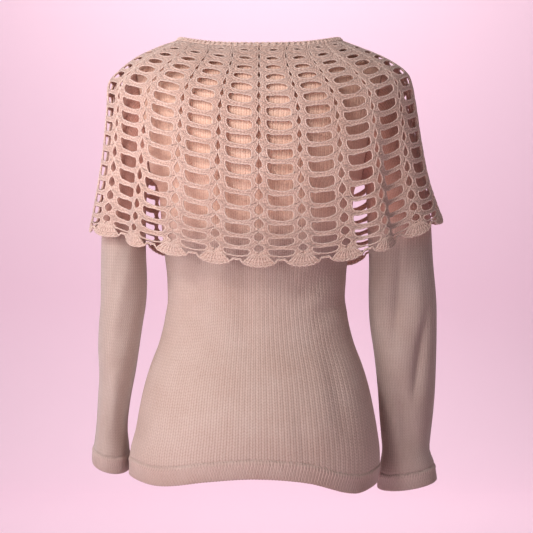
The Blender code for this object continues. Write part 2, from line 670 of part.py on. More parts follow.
def build_cape_half(name, neck, first, last, material):
    """One half of the openwork cape, from the rib at column first to the rib at column last."""
    rows = cape_rows()
    outer, inner = [], []
    for run, _, sag in rows:
        row_out, row_in = [], []
        for column, _ in half_columns(first, last, run):
            place = run + (sag if column % 1 == 0.5 else 0.0)
            point = seam_side(neck, column, place, first, last)
            if run in (0.0, CAPE_LENGTH):
                within = DOWN if run == 0.0 else CAPE_LENGTH - DOWN
                point += (cape_point(neck, column, within) - point).normalized() * SEAM / 2
            row_out.append(point)
            row_in.append(point - cape_normal(neck, column, place) * CROCHET)
        outer.append(row_out)
        inner.append(row_in)
    kinds = [kind for _, kind in half_columns(first, last, CAPE_LENGTH)]
    wall(name, outer, inner, material, is_cloth=lambda r, c: rows[r][1] is None or kinds[c] == "rib")


def scallop(column):
    """How far the edging hangs below the cape at a column."""
    away = abs(column - round(column)) / SCALLOP_HALF
    lobe = math.sqrt(max(1 - away * away, 0.0))
    return blend(SCALLOP_HIGH, SCALLOP_LOW, lobe)


def build_edging_half(name, neck, first, last, material):
    """The scalloped edge under one half of the cape, a lobe under each rib.

    It has a column midway between each two of the cape's, on the straight line between them, so that
    the two pieces stay a seam apart all the way round.
    """
    hem = []
    for column, _ in half_columns(first, last, CAPE_LENGTH):
        point = seam_side(neck, column, CAPE_LENGTH, first, last)
        down = (point - cape_point(neck, column, CAPE_LENGTH - DOWN)).normalized()
        hem.append((column, point, cape_normal(neck, column, CAPE_LENGTH), down))
    full = hem[:2]
    for start, end in zip(hem[1:-2], hem[2:-1]):
        full += [tuple(blend(a, b, 0.5) for a, b in zip(start, end)), end]
    full.append(hem[-1])
    outer, inner = [[], []], [[], []]
    for column, point, normal, down in full:
        for row, drop in enumerate((SEAM / 2, scallop(column))):
            outer[row].append(point + down * drop)
            inner[row].append(point + down * drop - normal * CROCHET)
    wall(name, outer, inner, material)


def make_material(name, colour):
    material = bpy.data.materials.new(name)
    material.use_nodes = True
    shader = material.node_tree.nodes["Principled BSDF"]
    shader.inputs["Base Color"].default_value = colour
    shader.inputs["Roughness"].default_value = 0.9
    return material


def main():
    for leftover in list(bpy.data.objects):
        bpy.data.objects.remove(leftover)
    collection = bpy.data.collections.new("crochet_top")
    bpy.context.scene.collection.children.link(collection)
    materials = {name: make_material(name, colour) for name, colour in COLOURS.items()}
    neck = build_pullover(materials)
    build_neck_edge(neck, materials["crochet"])
    for face, first, last in zip(("back", "front"), SEAM_REPEATS, SEAM_REPEATS[1:]):
        build_cape_half(f"cape_{face}", neck, first, last, materials["crochet"])
        build_edging_half(f"edging_{face}", neck, first, last, materials["crochet"])


main()
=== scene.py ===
"""The crochet top as it looks: a pale pink fine-knit pullover with a round crochet cape collar.

The pullover is filled out as if worn, with nobody in it.  Sizes are in metres, +Z is up, the back of the
garment faces -Y and its own left side is at -X, as in the CAD frame.  The tables of sizes are the solids'
own, so each piece lies where its solid does.  The body and sleeves are thin shells of stockinette with
raised wales, the hem and cuffs are turned bands, and the cape is a net of cloth with a strand of yarn round
each hole.  Strands of yarn also make the cape's scalloped edge and the neck's edge.
"""

import logging
import math
from dataclasses import dataclass, field
from enum import Enum
from functools import lru_cache
from typing import Iterable, NamedTuple, Sequence

import bmesh
import bpy
import numpy as np
from bpy.types import ID, Material, Mesh, Node, NodeSocket, NodeTree, Object
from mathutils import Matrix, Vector


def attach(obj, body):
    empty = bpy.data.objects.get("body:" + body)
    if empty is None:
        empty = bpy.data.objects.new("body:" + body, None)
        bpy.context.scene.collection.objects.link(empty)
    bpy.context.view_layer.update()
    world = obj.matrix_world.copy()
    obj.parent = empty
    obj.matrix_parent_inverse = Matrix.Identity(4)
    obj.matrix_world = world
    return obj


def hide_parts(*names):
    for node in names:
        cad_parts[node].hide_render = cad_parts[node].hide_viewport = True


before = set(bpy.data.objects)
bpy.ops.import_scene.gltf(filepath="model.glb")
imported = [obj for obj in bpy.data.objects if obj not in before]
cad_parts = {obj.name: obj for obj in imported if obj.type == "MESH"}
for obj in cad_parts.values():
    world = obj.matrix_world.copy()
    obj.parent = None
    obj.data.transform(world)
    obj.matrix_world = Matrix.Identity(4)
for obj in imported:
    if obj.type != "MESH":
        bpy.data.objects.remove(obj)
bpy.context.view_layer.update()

LOG = logging.getLogger("crochet_top")

Array = np.ndarray
Place = tuple[float, float, float]
Colour = tuple[float, float, float]


class Slot(Enum):
    """The record's material slots."""

    KNIT = "knit"
    BAND = "band"
    CROCHET = "crochet"


class Face(Enum):
    """The two panels of the body."""

    BACK = "back"
    FRONT = "front"


class Side(Enum):
    """The garment's own sides."""

    LEFT = "left"
    RIGHT = "right"

    @property
    def sign(self) -> int:
        """Which way along X the side lies."""
        return -1 if self is Side.LEFT else 1


class Stitch(Enum):
    """How the yarn runs over a piece's surface."""

    STOCKINETTE = "Stockinette"
    BAND = "Band Stitch"
    CROCHET = "Crochet Stitch"
    TWIST = "Ply Twist"


class TorsoRow(NamedTuple):
    """Half widths and depths of the body at a height."""

    height: float
    left: float
    right: float
    back: float
    front: float


class HemRow(NamedTuple):
    """Height of the hem at a share across a panel, -1 at the left seam and 1 at the right."""

    share: float
    back: float
    front: float


class SleeveRow(NamedTuple):
    """Section of a hanging sleeve at a height."""

    height: float
    outer: float
    inner: float
    depth: float
    forward: float


class SleeveFold(NamedTuple):
    """A long soft fold of a sleeve, from top to bottom, and how deep and wide it is."""

    top: float
    top_turn: float
    bottom: float
    bottom_turn: float
    depth: float
    width: float


class CuffLine(NamedTuple):
    """The cuff's edge in the middle of the sleeve and its slope outwards."""

    height: float
    slope: float


class CapeRow(NamedTuple):
    """Where the cape's cloth lies at a run from the neck seam, on each of four lines."""

    run: float
    left: float
    left_z: float
    right: float
    right_z: float
    back: float
    back_z: float
    front: float
    front_z: float


class CapeFold(NamedTuple):
    """A fold of the cape: the column that it follows, its depth at the hem, half width and start."""

    column: float
    depth: float
    width: float
    start: float


class RoundRow(NamedTuple):
    """A round's height in millimetres, and the share of it that is hole."""

    number: int
    pitch: float
    hole_height: float


class RibRow(NamedTuple):
    """A rib's cloth in a round, in millimetres from its middle: its hole and its edges at each side."""

    number: int
    hole: float
    sharp: float
    left_top: float
    left_bottom: float
    right_top: float
    right_bottom: float


class HoleRow(NamedTuple):
    """A ladder hole's shape in a round: how round it is, and in millimetres how far its middle sags
    at its top and bottom and its upper left corner reaches up."""

    number: int
    roundness: float
    top_sag: float
    bottom_sag: float
    ear: float


class BandPoint(NamedTuple):
    """A point of a turned band's section, in millimetres, and how strong its ribs are."""

    rise: float
    out: float
    raised: float


class Rope(NamedTuple):
    """Strands twisted round a way: how many, one turn's length, from the way to a strand and its radius."""

    plies: int
    pitch: float
    lay_radius: float
    yarn_radius: float


class Crease(NamedTuple):
    """A soft crease of a body panel, from one end to the other (x and height), its depth and half width."""

    start_x: float
    start_z: float
    end_x: float
    end_z: float
    depth: float
    width: float


class Lamp(NamedTuple):
    """A square soft light of a size and a power in watts, or a soft spot where it has a cone in degrees."""

    name: str
    at: Place
    size: float
    power: float
    colour: Colour
    look: Place = (0.0, 0.0, -0.30)
    cone: float = 0.0


TORSO = tuple(TorsoRow(*row) for row in (
    (-0.625, 0.1705, 0.1590, 0.118, 0.104),
    (-0.595, 0.1705, 0.1610, 0.120, 0.104),
    (-0.572, 0.1708, 0.1655, 0.122, 0.105),
    (-0.544, 0.1688, 0.1654, 0.124, 0.106),
    (-0.518, 0.1620, 0.1620, 0.124, 0.105),
    (-0.490, 0.1570, 0.1570, 0.120, 0.102),
    (-0.460, 0.1505, 0.1505, 0.112, 0.098),
    (-0.432, 0.1420, 0.1420, 0.103, 0.095),
    (-0.400, 0.1300, 0.1300, 0.092, 0.093),
    (-0.360, 0.1210, 0.1210, 0.085, 0.093),
    (-0.328, 0.1190, 0.1190, 0.086, 0.097),
    (-0.292, 0.1226, 0.1226, 0.093, 0.105),
    (-0.250, 0.1270, 0.1270, 0.104, 0.117),
    (-0.210, 0.1300, 0.1300, 0.113, 0.1265),
    (-0.197, 0.1318, 0.1318, 0.1155, 0.1275),
    (-0.190, 0.1345, 0.1345, 0.1165, 0.1275),
    (-0.184, 0.1410, 0.1410, 0.117, 0.1275),
    (-0.150, 0.1500, 0.1500, 0.118, 0.124),
    (-0.110, 0.1600, 0.1600, 0.116, 0.115),
    (-0.085, 0.1640, 0.1640, 0.110, 0.106),
    (-0.060, 0.1660, 0.1660, 0.098, 0.094),
    (-0.042, 0.1660, 0.1660, 0.085, 0.083),
    (-0.020, 0.1480, 0.1480, 0.065, 0.069),
    (-0.014, 0.1360, 0.1360, 0.059, 0.063),
    (0.000, 0.1100, 0.1100, 0.047, 0.050),
    (0.010, 0.0850, 0.0850, 0.038, 0.040),
))

HEM = tuple(HemRow(*row) for row in (
    (-1.00, -0.578, -0.578),
    (-0.74, -0.584, -0.586),
    (-0.35, -0.575, -0.592),
    (0.00, -0.571, -0.594),
    (0.40, -0.577, -0.595),
    (0.80, -0.595, -0.595),
    (1.00, -0.589, -0.589),
))

SLEEVES = {
    Side.LEFT: tuple(SleeveRow(*row) for row in (
        (-0.235, -0.2070, -0.1500, 0.052, 0.000),
        (-0.278, -0.2086, -0.1500, 0.052, 0.000),
        (-0.321, -0.2092, -0.1486, 0.051, 0.001),
        (-0.351, -0.2098, -0.1502, 0.050, 0.003),
        (-0.381, -0.2125, -0.1553, 0.050, 0.006),
        (-0.4135, -0.2136, -0.1602, 0.050, 0.009),
        (-0.445, -0.2127, -0.1655, 0.051, 0.015),
        (-0.476, -0.2148, -0.1719, 0.051, 0.020),
        (-0.508, -0.2172, -0.1767, 0.051, 0.026),
        (-0.528, -0.2195, -0.1775, 0.051, 0.030),
        (-0.544, -0.2220, -0.1759, 0.051, 0.032),
        (-0.557, -0.2245, -0.1751, 0.052, 0.033),
        (-0.585, -0.2230, -0.1740, 0.052, 0.035),
    )),
    Side.RIGHT: tuple(SleeveRow(*row) for row in (
        (-0.235, 0.2345, 0.1500, 0.043, 0.000),
        (-0.292, 0.2375, 0.1524, 0.041, 0.000),
        (-0.343, 0.2423, 0.1522, 0.039, 0.003),
        (-0.377, 0.2434, 0.1540, 0.038, 0.007),
        (-0.422, 0.2435, 0.1607, 0.037, 0.014),
        (-0.468, 0.2429, 0.1661, 0.037, 0.024),
        (-0.502, 0.2411, 0.1688, 0.036, 0.032),
        (-0.534, 0.2384, 0.1720, 0.036, 0.040),
        (-0.552, 0.2376, 0.1735, 0.036, 0.042),
        (-0.568, 0.2434, 0.1714, 0.037, 0.044),
        (-0.592, 0.2479, 0.1675, 0.038, 0.046),
        (-0.615, 0.2480, 0.1670, 0.038, 0.047),
    )),
}
CUFF_LINES = {Side.LEFT: CuffLine(-0.5715, 0.236), Side.RIGHT: CuffLine(-0.5995, 0.153)}

# The first three left folds and four right ones are the solids' own, two left ones being softer here; the
# others are the cloth's alone
SLEEVE_FOLDS = {
    Side.LEFT: tuple(SleeveFold(*row) for row in (
        (-0.300, 0.16, -0.440, 0.24, 0.0018, 0.060),
        (-0.430, 0.34, -0.540, 0.22, 0.0014, 0.060),
        (-0.320, 0.80, -0.470, 0.70, 0.0045, 0.060),
        (-0.260, 0.20, -0.390, 0.38, 0.0016, 0.040),
        (-0.390, 0.10, -0.500, 0.14, 0.0008, 0.030),
        (-0.500, 0.30, -0.560, 0.36, 0.0008, 0.028),
        (-0.420, 0.88, -0.540, 0.82, 0.0020, 0.035),
    )),
    Side.RIGHT: tuple(SleeveFold(*row) for row in (
        (-0.250, 0.30, -0.420, 0.17, 0.0050, 0.060),
        (-0.370, 0.36, -0.500, 0.26, 0.0045, 0.055),
        (-0.450, 0.16, -0.560, 0.30, 0.0035, 0.050),
        (-0.300, 0.70, -0.450, 0.82, 0.0045, 0.060),
        (-0.240, 0.25, -0.430, 0.170, 0.0040, 0.026),
        (-0.350, 0.375, -0.490, 0.270, 0.0036, 0.026),
        (-0.440, 0.19, -0.575, 0.235, 0.0026, 0.026),
        (-0.300, 0.33, -0.400, 0.300, -0.0012, 0.030),
        (-0.410, 0.42, -0.520, 0.40, 0.0012, 0.028),
        (-0.410, 0.62, -0.550, 0.70, 0.0020, 0.035),
    )),
}

CREASES = {
    Face.BACK: tuple(Crease(*row) for row in (
        (-0.118, -0.300, -0.040, -0.352, 0.0022, 0.011),
        (-0.122, -0.345, -0.060, -0.378, 0.0016, 0.009),
        (0.119, -0.290, 0.045, -0.345, 0.0024, 0.012),
        (0.121, -0.338, 0.070, -0.372, 0.0017, 0.009),
        (-0.085, -0.395, -0.105, -0.520, 0.0014, 0.010),
        (0.092, -0.400, 0.118, -0.530, 0.0018, 0.011),
        (0.050, -0.470, 0.070, -0.560, 0.0010, 0.010),
        (-0.020, -0.300, -0.012, -0.420, 0.0012, 0.012),
    )),
    Face.FRONT: tuple(Crease(*row) for row in (
        (0.112, -0.296, 0.052, -0.336, 0.0022, 0.011),
        (0.118, -0.352, 0.066, -0.380, 0.0016, 0.009),
        (-0.114, -0.285, -0.050, -0.338, 0.0023, 0.012),
        (-0.119, -0.342, -0.078, -0.366, 0.0015, 0.009),
        (0.088, -0.410, 0.104, -0.530, 0.0015, 0.010),
        (-0.094, -0.405, -0.112, -0.545, 0.0017, 0.011),
        (0.010, -0.310, 0.022, -0.430, 0.0011, 0.012),
    )),
}

# Up the outside of a band that is 22 mm tall, over its ridge and down the inside
BAND_SECTION = tuple(BandPoint(*row) for row in (
    (0.2, -0.9, 0.5),
    (0.5, 0.0, 0.8),
    (1.8, 0.45, 1.0),
    (6.0, 0.5, 1.0),
    (11.0, 0.4, 1.0),
    (15.0, 0.45, 1.0),
    (17.5, 0.60, 1.2),
    (19.5, 1.0, 2.2),
    (21.6, 0.9, 2.0),
    (25.6, 0.2, 0.8),
    (24.0, -1.8, 0.0),
    (20.0, -2.5, 0.0),
    (11.0, -2.6, 0.0),
    (2.5, -2.5, 0.0),
    (0.6, -1.9, 0.2),
))

CAPE = tuple(CapeRow(*row) for row in (
    (0.000, 0.108, 0.004, 0.114, 0.004, 0.0625, -0.0110, 0.0733, -0.0168),
    (0.025, 0.131, -0.0045, 0.137, -0.0045, 0.0806, -0.0283, 0.0890, -0.0360),
    (0.060, 0.163, -0.020, 0.168, -0.017, 0.1020, -0.0552, 0.1070, -0.0660),
    (0.090, 0.1865, -0.0385, 0.194, -0.032, 0.1162, -0.0816, 0.1200, -0.0930),
    (0.110, 0.1995, -0.054, 0.207, -0.046, 0.1210, -0.1010, 0.1270, -0.1120),
    (0.140, 0.2018, -0.084, 0.214, -0.076, 0.1263, -0.1304, 0.1340, -0.1410),
    (0.200, 0.2070, -0.143, 0.223, -0.135, 0.1322, -0.1900, 0.1405, -0.2007),
    (0.250, 0.2145, -0.193, 0.233, -0.184, 0.1332, -0.2400, 0.1415, -0.2507),
    (0.299, 0.2230, -0.241, 0.248, -0.228, 0.1340, -0.2890, 0.1410, -0.2997),
))

CAPE_FOLDS = tuple(CapeFold(*row) for row in (
    (-3.50, 0.016, 0.45, 0.120),
    (-3.00, -0.005, 0.35, 0.120),
    (3.50, 0.016, 0.45, 0.100),
    (3.00, -0.006, 0.35, 0.100),
    (-1.50, 0.003, 0.60, 0.180),
    (1.50, 0.003, 0.60, 0.180),
    (7.40, 0.014, 0.50, 0.110),
    (-7.60, 0.014, 0.50, 0.110),
    (9.50, 0.003, 0.60, 0.180),
    (-9.50, 0.003, 0.60, 0.180),
))

ROUNDS = tuple(RoundRow(*row) for row in (
    (0, 19.0, 0.16),
    (1, 18.0, 0.24),
    (3, 16.5, 0.46),
    (6, 17.3, 0.66),
    (8, 18.0, 0.71),
    (11, 20.0, 0.75),
    (14, 16.5, 0.73),
    (16, 12.5, 0.62),
))

LAMPS = (
    Lamp("Key", (-0.62, -0.92, 0.02), 0.8, 8.8, (1.0, 0.99, 0.98)),
    Lamp("Edge", (-0.90, -1.60, 0.70), 0.25, 6.4, (1.0, 0.98, 0.96)),
    Lamp("Side", (-1.90, -0.50, -0.30), 1.6, 8.0, (1.0, 0.98, 0.98)),
    Lamp("Wash", (0.0, 1.85, 1.30), 1.8, 27.0, (1.0, 0.95, 0.98), look=(0.0, 3.0, -0.6)),
    Lamp("Back", (0.60, 2.30, 0.90), 1.6, 10.0, (1.0, 0.97, 0.95)),
    Lamp("Fill", (0.4, -2.7, -0.1), 2.2, 2.0, (1.0, 0.93, 0.90)),
    Lamp("Sleeve", (0.50, -1.60, -0.42), 0.3, 38.0, (1.0, 0.97, 0.96), look=(-0.208, 0.0, -0.43), cone=15.0),
)

# Upper ribs have a slit in them, lower ones a round hole; from the middle down their right side is fatter
RIBS = tuple(RibRow(*row) for row in (
    (0, 0.4, 2.3, 9.4, 9.4, 9.4, 9.4),
    (1, 0.8, 2.3, 8.9, 8.9, 8.8, 8.9),
    (3, 1.6, 2.3, 8.4, 8.2, 8.2, 9.0),
    (6, 2.7, 2.1, 9.2, 8.0, 7.8, 11.0),
    (9, 3.4, 1.9, 9.4, 8.0, 8.0, 12.5),
    (12, 4.8, 1.5, 10.2, 9.4, 9.2, 13.5),
    (14, 5.6, 1.2, 10.6, 10.4, 10.6, 13.0),
    (16, 5.8, 1.1, 11.0, 10.8, 11.4, 12.6),
))

# The first holes between ribs are low arches, lower down their tops sag and their left corner reaches up
HOLES = tuple(HoleRow(*row) for row in (
    (0, 0.80, -0.8, 0.2, 0.0),
    (3, 0.70, -1.9, 0.4, 0.3),
    (6, 0.55, -0.4, 0.5, 1.2),
    (8, 0.50, 1.3, 0.6, 1.8),
    (12, 0.50, 1.7, 0.8, 2.0),
    (14, 0.60, 1.4, 1.4, 1.6),
    (16, 0.70, 1.4, 1.8, 0.8),
))


def hermite(start: float | Vector, end: float | Vector, leaving: float | Vector,
            arriving: float | Vector, share: float) -> float | Vector:
    """A cubic from start to end with the given directions at its ends.

    Args:
        start: where it starts.
        end: where it ends.
        leaving: its direction at the start.
        arriving: its direction at the end.
        share: how far along it to read, from 0 to 1.

    Returns:
        The value there, a number or a vector as the ends are.
    """
    square = share * share
    cube = square * share
    return (start * (2 * cube - 3 * square + 1) + leaving * (cube - 2 * square + share)
            + end * (3 * square - 2 * cube) + arriving * (cube - square))


@lru_cache(maxsize=200000)
def reading(table: tuple[NamedTuple, ...], key: float, column: str) -> float:
    """Read a column of a table along a smooth curve through its rows.

    Args:
        table: rows whose first value is the key, in rising or falling order.
        key: where to read.
        column: the name of the column.

    Returns:
        The value at the key.
    """
    rows = table if table[0][0] < table[-1][0] else table[::-1]
    last = len(rows) - 1
    key = min(max(key, rows[0][0]), rows[last][0])
    index = next(i for i in range(last) if key <= rows[i + 1][0] or i == last - 1)

    def slope(i: int) -> float:
        """The curve's slope at a row."""
        low, high = max(i - 1, 0), min(i + 1, last)
        return (getattr(rows[high], column) - getattr(rows[low], column)) / (rows[high][0] - rows[low][0])

    span = rows[index + 1][0] - rows[index][0]
    share = (key - rows[index][0]) / span
    return hermite(getattr(rows[index], column), getattr(rows[index + 1], column),
                   slope(index) * span, slope(index + 1) * span, share)


def row_at(table: tuple[NamedTuple, ...], key: float) -> NamedTuple:
    """Read a whole row of a table between its own rows."""
    kind = type(table[0])
    return kind(*(reading(table, key, column) for column in kind._fields))


def blend(start: float, end: float, share: float) -> float:
    """Go from start to end in a straight line."""
    return start + (end - start) * share


def smooth(share: float) -> float:
    """Ease from 0 to 1."""
    share = min(max(share, 0.0), 1.0)
    return share * share * (3 - 2 * share)


def signed_power(value: float, power: float) -> float:
    """Raise the size of a number and keep its sign."""
    return math.copysign(abs(value) ** power, value)


def unit(vectors: Array) -> Array:
    """Scale the last axis of an array of vectors to length 1."""
    return vectors / np.maximum(np.linalg.norm(vectors, axis=-1, keepdims=True), 1e-12)


def travelled(points: Array) -> Array:
    """The way from the first point of a line to each of its points."""
    return np.concatenate(([0.0], np.cumsum(np.linalg.norm(np.diff(points, axis=0), axis=1))))


def steps_between(points: Array, axis: int, closed: bool) -> Array:
    """The way the points go at each of them, along an axis of the array.

    Args:
        points: the points.
        axis: which way to go.
        closed: whether the last point is followed by the first.

    Returns:
        A direction at each point.
    """
    if closed:
        return np.roll(points, -1, axis) - np.roll(points, 1, axis)
    return np.gradient(points, axis=axis)


def linked(name: str, data: ID) -> Object:
    """Make an object and link it to the scene.

    Args:
        name: what it is called.
        data: its mesh, curve, light or camera.

    Returns:
        The object.
    """
    obj = bpy.data.objects.new(name, data)
    bpy.context.scene.collection.objects.link(obj)
    return obj


def mapped_mesh(name: str, points: Array, faces: Sequence[Sequence[int]], uvs: Array) -> Mesh:
    """Make a smooth mesh with a UV map.

    Args:
        name: what it is called.
        points: its points.
        faces: the points' numbers for each face.
        uvs: a place in the map for each corner; corners past the last one lie at its origin.

    Returns:
        The mesh.
    """
    mesh = bpy.data.meshes.new(name)
    mesh.from_pydata(points.reshape(-1, 3).tolist(), [], faces)
    flat = np.zeros((len(mesh.loops), 2), dtype=np.float32)
    flat[:uvs.size // 2] = uvs.reshape(-1, 2)
    mesh.uv_layers.new(name="UVMap").data.foreach_set("uv", flat.ravel())
    mesh.shade_smooth()
    return mesh


def drift(seed: int, count: int, keys: int, size: float) -> Array:
    """A slow wander for hand-made unevenness.

    Args:
        seed: picks the wander.
        count: how many values are wanted.
        keys: how many turning points it has.
        size: how far it strays.

    Returns:
        The values, within plus or minus size.
    """
    points = np.random.default_rng(seed).uniform(-size, size, keys)
    return np.interp(np.linspace(0, keys - 1, count), np.arange(keys), points)


@dataclass(frozen=True)
class BodyForm:
    """The outer face of the knitted body, as the solids' panels have it.

    A panel's columns go from 0 at its left edge to spans at its right, seen from the back.
    """

    section: float = 2.3
    spans: int = 17
    shoulder_spans: int = 3
    armpit_x: float = 0.141
    armpit_z: float = -0.184
    tip_x: float = 0.166
    tip_z: float = -0.032
    armhole_back: float = 0.062
    armhole_front: float = 0.066
    armhole_spans: int = 8
    armhole_bend: float = 1.5
    edge_pull: float = 5.0
    lean_by: float = 0.004
    neck_half: float = 0.110
    crest: float = 0.025
    neck_drop_back: float = 0.014
    neck_drop_front: float = 0.020
    neck_bend: float = 3.0
    fine_columns: int = 681

    def lean(self, height: float) -> float:
        """How far the body's middle line stands to the right at a height."""
        return self.lean_by * smooth((height - self.armpit_z) / (self.tip_z - self.armpit_z))

    def armhole(self, step: float, sign: int, face: Face) -> Vector:
        """A point on the armhole's oval.

        Args:
            step: 0 at the armpit and armhole_spans at the shoulder's tip.
            sign: -1 for the left armhole, 1 for the right.
            face: which half of the oval.

        Returns:
            The point.
        """
        angle = math.pi * step / self.armhole_spans
        rise = (1 - math.cos(angle)) / 2
        reach = self.armhole_back if face is Face.BACK else self.armhole_front
        depth = reach * math.sin(angle) * (-1 if face is Face.BACK else 1)
        height = blend(self.armpit_z, self.tip_z, rise)
        half = blend(self.armpit_x, self.tip_x, rise ** self.armhole_bend)
        return Vector((self.lean(height) + sign * half, depth, height))

    def half_width(self, height: float, sign: float, face: Face) -> float:
        """Half the body's width.

        Args:
            height: where it is read.
            sign: -1 for the left side, 1 for the right.
            face: which panel.

        Returns:
            From the middle line to the panel's edge.
        """
        if height <= self.armpit_z:
            return reading(TORSO, height, "left" if sign < 0 else "right")
        if height >= self.tip_z:
            fall = (self.crest - height) / (self.crest - self.tip_z)
            return self.tip_x * math.sqrt(max(fall, 0.0))
        rise = (height - self.armpit_z) / (self.tip_z - self.armpit_z)
        half = blend(self.armpit_x, self.tip_x, rise ** self.armhole_bend)
        reach = self.armhole_back if face is Face.BACK else self.armhole_front
        reach *= 2 * math.sqrt(rise * (1 - rise))
        filled = (reach / reading(TORSO, height, face.value)) ** self.section
        return half / (1 - filled) ** (1 / self.section)

    def at(self, offset: float, height: float, face: Face) -> Vector:
        """A point of the cloth.

        Args:
            offset: how far it is to the right of the middle line.
            height: its height.
            face: which panel.

        Returns:
            The point.
        """
        half = self.half_width(height, math.copysign(1, offset), face)
        across = min(abs(offset) / half, 1.0)
        depth = reading(TORSO, height, face.value) * (1 - across ** self.section) ** (1 / self.section)
        return Vector((self.lean(height) + offset, depth if face is Face.FRONT else -depth, height))

    def share_across(self, column: float) -> float:
        """Where a column stands in a level row: -1 at its left edge, 1 at its right."""
        turn = math.pi / 2 * (2 * column / self.spans - 1)
        return signed_power(math.sin(turn), 2 / self.section)

    def top(self, column: float, face: Face) -> tuple[float, float]:
        """Find a column's top end, on the shoulder seam or the neck's edge.

        Args:
            column: which column.
            face: which panel.

        Returns:
            Its offset from the middle line and its height.
        """
        inner = self.spans - 2 * self.shoulder_spans
        if self.shoulder_spans <= column <= self.shoulder_spans + inner:
            turn = math.pi * ((column - self.shoulder_spans) / inner - 0.5)
            share = signed_power(math.sin(turn), 2 / self.section)
            drop = self.neck_drop_back if face is Face.BACK else self.neck_drop_front
            return share * self.neck_half, -drop * (1 - abs(share) ** self.neck_bend)
        steps = column if column < self.shoulder_spans else self.spans - column
        offset = blend(self.tip_x, self.neck_half, steps / self.shoulder_spans)
        fall = (offset / self.tip_x) ** 2
        height = self.crest - (self.crest - self.tip_z) * fall
        return math.copysign(offset, column - self.spans / 2), height

    def level(self, column: float, height: float, face: Face) -> Vector:
        """A point below the armpits."""
        share = self.share_across(column)
        return self.at(self.half_width(height, math.copysign(1, share), face) * share, height, face)

    def upper(self, column: float, step: float, face: Face) -> Vector:
        """A point above the armpits, on a row from armhole to armhole.

        Args:
            column: from 0 at the left armhole to spans at the right.
            step: from 0 at the armpits to armhole_spans at the top.
            face: which panel.

        Returns:
            The point.
        """
        share = self.share_across(column)
        offset_top, height_top = self.top(column, face)
        if column in (0, self.spans):
            return self.armhole(step, int(math.copysign(1, share)), face)
        shoulder = column <= self.shoulder_spans or column >= self.spans - self.shoulder_spans
        if step == self.armhole_spans and shoulder:
            return Vector((self.lean(height_top) + offset_top, 0.0, height_top))
        even = step / self.armhole_spans
        oval = (1 - math.cos(math.pi * even)) / 2
        height = blend(self.armpit_z, height_top, blend(even, oval, share * share))
        bent = blend(self.armpit_x, self.tip_x, oval ** self.armhole_bend)
        edge = bent - blend(self.armpit_x, self.tip_x, even)
        offset = blend(self.armpit_x * share, offset_top, even) + edge * signed_power(share, self.edge_pull)
        return self.at(offset, height, face)

    def hem(self, column: float, face: Face) -> float:
        """Height of the hem's edge at a column."""
        return reading(HEM, self.share_across(column), face.value)

    def even_columns(self, face: Face, count: int, height: float = -0.45) -> list[float]:
        """Columns that stand an equal way apart round a panel at one height.

        Args:
            face: which panel.
            count: how many spans are wanted.
            height: where they are even.

        Returns:
            The columns, from 0 to spans.
        """
        fine = np.linspace(0, self.spans, self.fine_columns)
        way = travelled(np.array([self.level(c, height, face) for c in fine]))
        columns = np.interp(np.linspace(0, way[-1], count + 1), way, fine)
        return [0.0, *map(float, columns[1:-1]), float(self.spans)]


@dataclass(frozen=True)
class SleeveForm:
    """The outer face of the two sleeves; a turn goes from 0 at the inner edge, a quarter being the back."""

    body: BodyForm = BodyForm()
    bicep: float = -0.235
    cuff_back_drop: float = 0.11
    out_armpit: float = 0.026
    out_tip: float = 0.100
    fall_tip: float = 0.030
    spread_left: float = 0.012
    spread_right: float = 0.030
    down_armpit: float = 0.060
    down_tip: float = 0.175

    def fold(self, side: Side, height: float, turn: float) -> float:
        """How far the long folds press a sleeve in.

        Args:
            side: which sleeve.
            height: where it is read.
            turn: how far round the sleeve.

        Returns:
            The depth of all the folds there.
        """
        depth = 0.0
        for fold in SLEEVE_FOLDS[side]:
            if fold.bottom < height < fold.top:
                along = (fold.top - height) / (fold.top - fold.bottom)
                beside = (turn - blend(fold.top_turn, fold.bottom_turn, along)) / fold.width
                depth += fold.depth * math.sin(math.pi * along) * math.exp(-beside * beside)
        return depth

    def at(self, side: Side, turn: float, height: float) -> Vector:
        """A point on the hanging part of a sleeve.

        Args:
            side: which sleeve.
            turn: how far round it.
            height: the point's height.

        Returns:
            The point.
        """
        _, outer, inner, depth, forward = row_at(SLEEVES[side], height)
        angle = 2 * math.pi * turn
        pressed = 1 - self.fold(side, height, turn % 1.0) / min(depth, abs(outer - inner) / 2)
        middle = Vector(((outer + inner) / 2, forward, height))
        round_it = Vector(((inner - outer) / 2 * math.cos(angle), -depth * math.sin(angle), 0))
        return middle + round_it * pressed

    def edge(self, side: Side, turn: float, rise: float) -> float:
        """Height of the cuff's edge, or of a line above it.

        Args:
            side: which sleeve.
            turn: how far round it.
            rise: how far above the edge.

        Returns:
            The height.
        """
        line = CUFF_LINES[side]
        point = self.at(side, turn, line.height)
        middle = (self.at(side, 0, line.height) + self.at(side, 0.5, line.height)) / 2
        outwards = abs(point.x) - abs(middle.x)
        backwards = middle.y - point.y
        return line.height + line.slope * outwards - self.cuff_back_drop * backwards + rise

    def cap(self, side: Side, turn: float, share: float) -> Vector:
        """A point on the sleeve's cap.

        Args:
            side: which sleeve.
            turn: how far round it.
            share: 0 at the armhole and 1 at the upper arm.

        Returns:
            The point.
        """
        spans = self.body.armhole_spans
        step, face = (2 * spans * turn, Face.BACK) if turn <= 0.5 else (2 * spans * (1 - turn), Face.FRONT)
        start = self.body.armhole(step, side.sign, face)
        up = (1 - math.cos(2 * math.pi * turn)) / 2
        spread = self.spread_left if side is Side.LEFT else self.spread_right
        out = Vector((side.sign * blend(self.out_armpit, self.out_tip, up), 0, -self.fall_tip * up))
        down = Vector((side.sign * spread * up, 0, -blend(self.down_armpit, self.down_tip, up)))
        return hermite(start, self.at(side, turn, self.bicep), out, down, share)


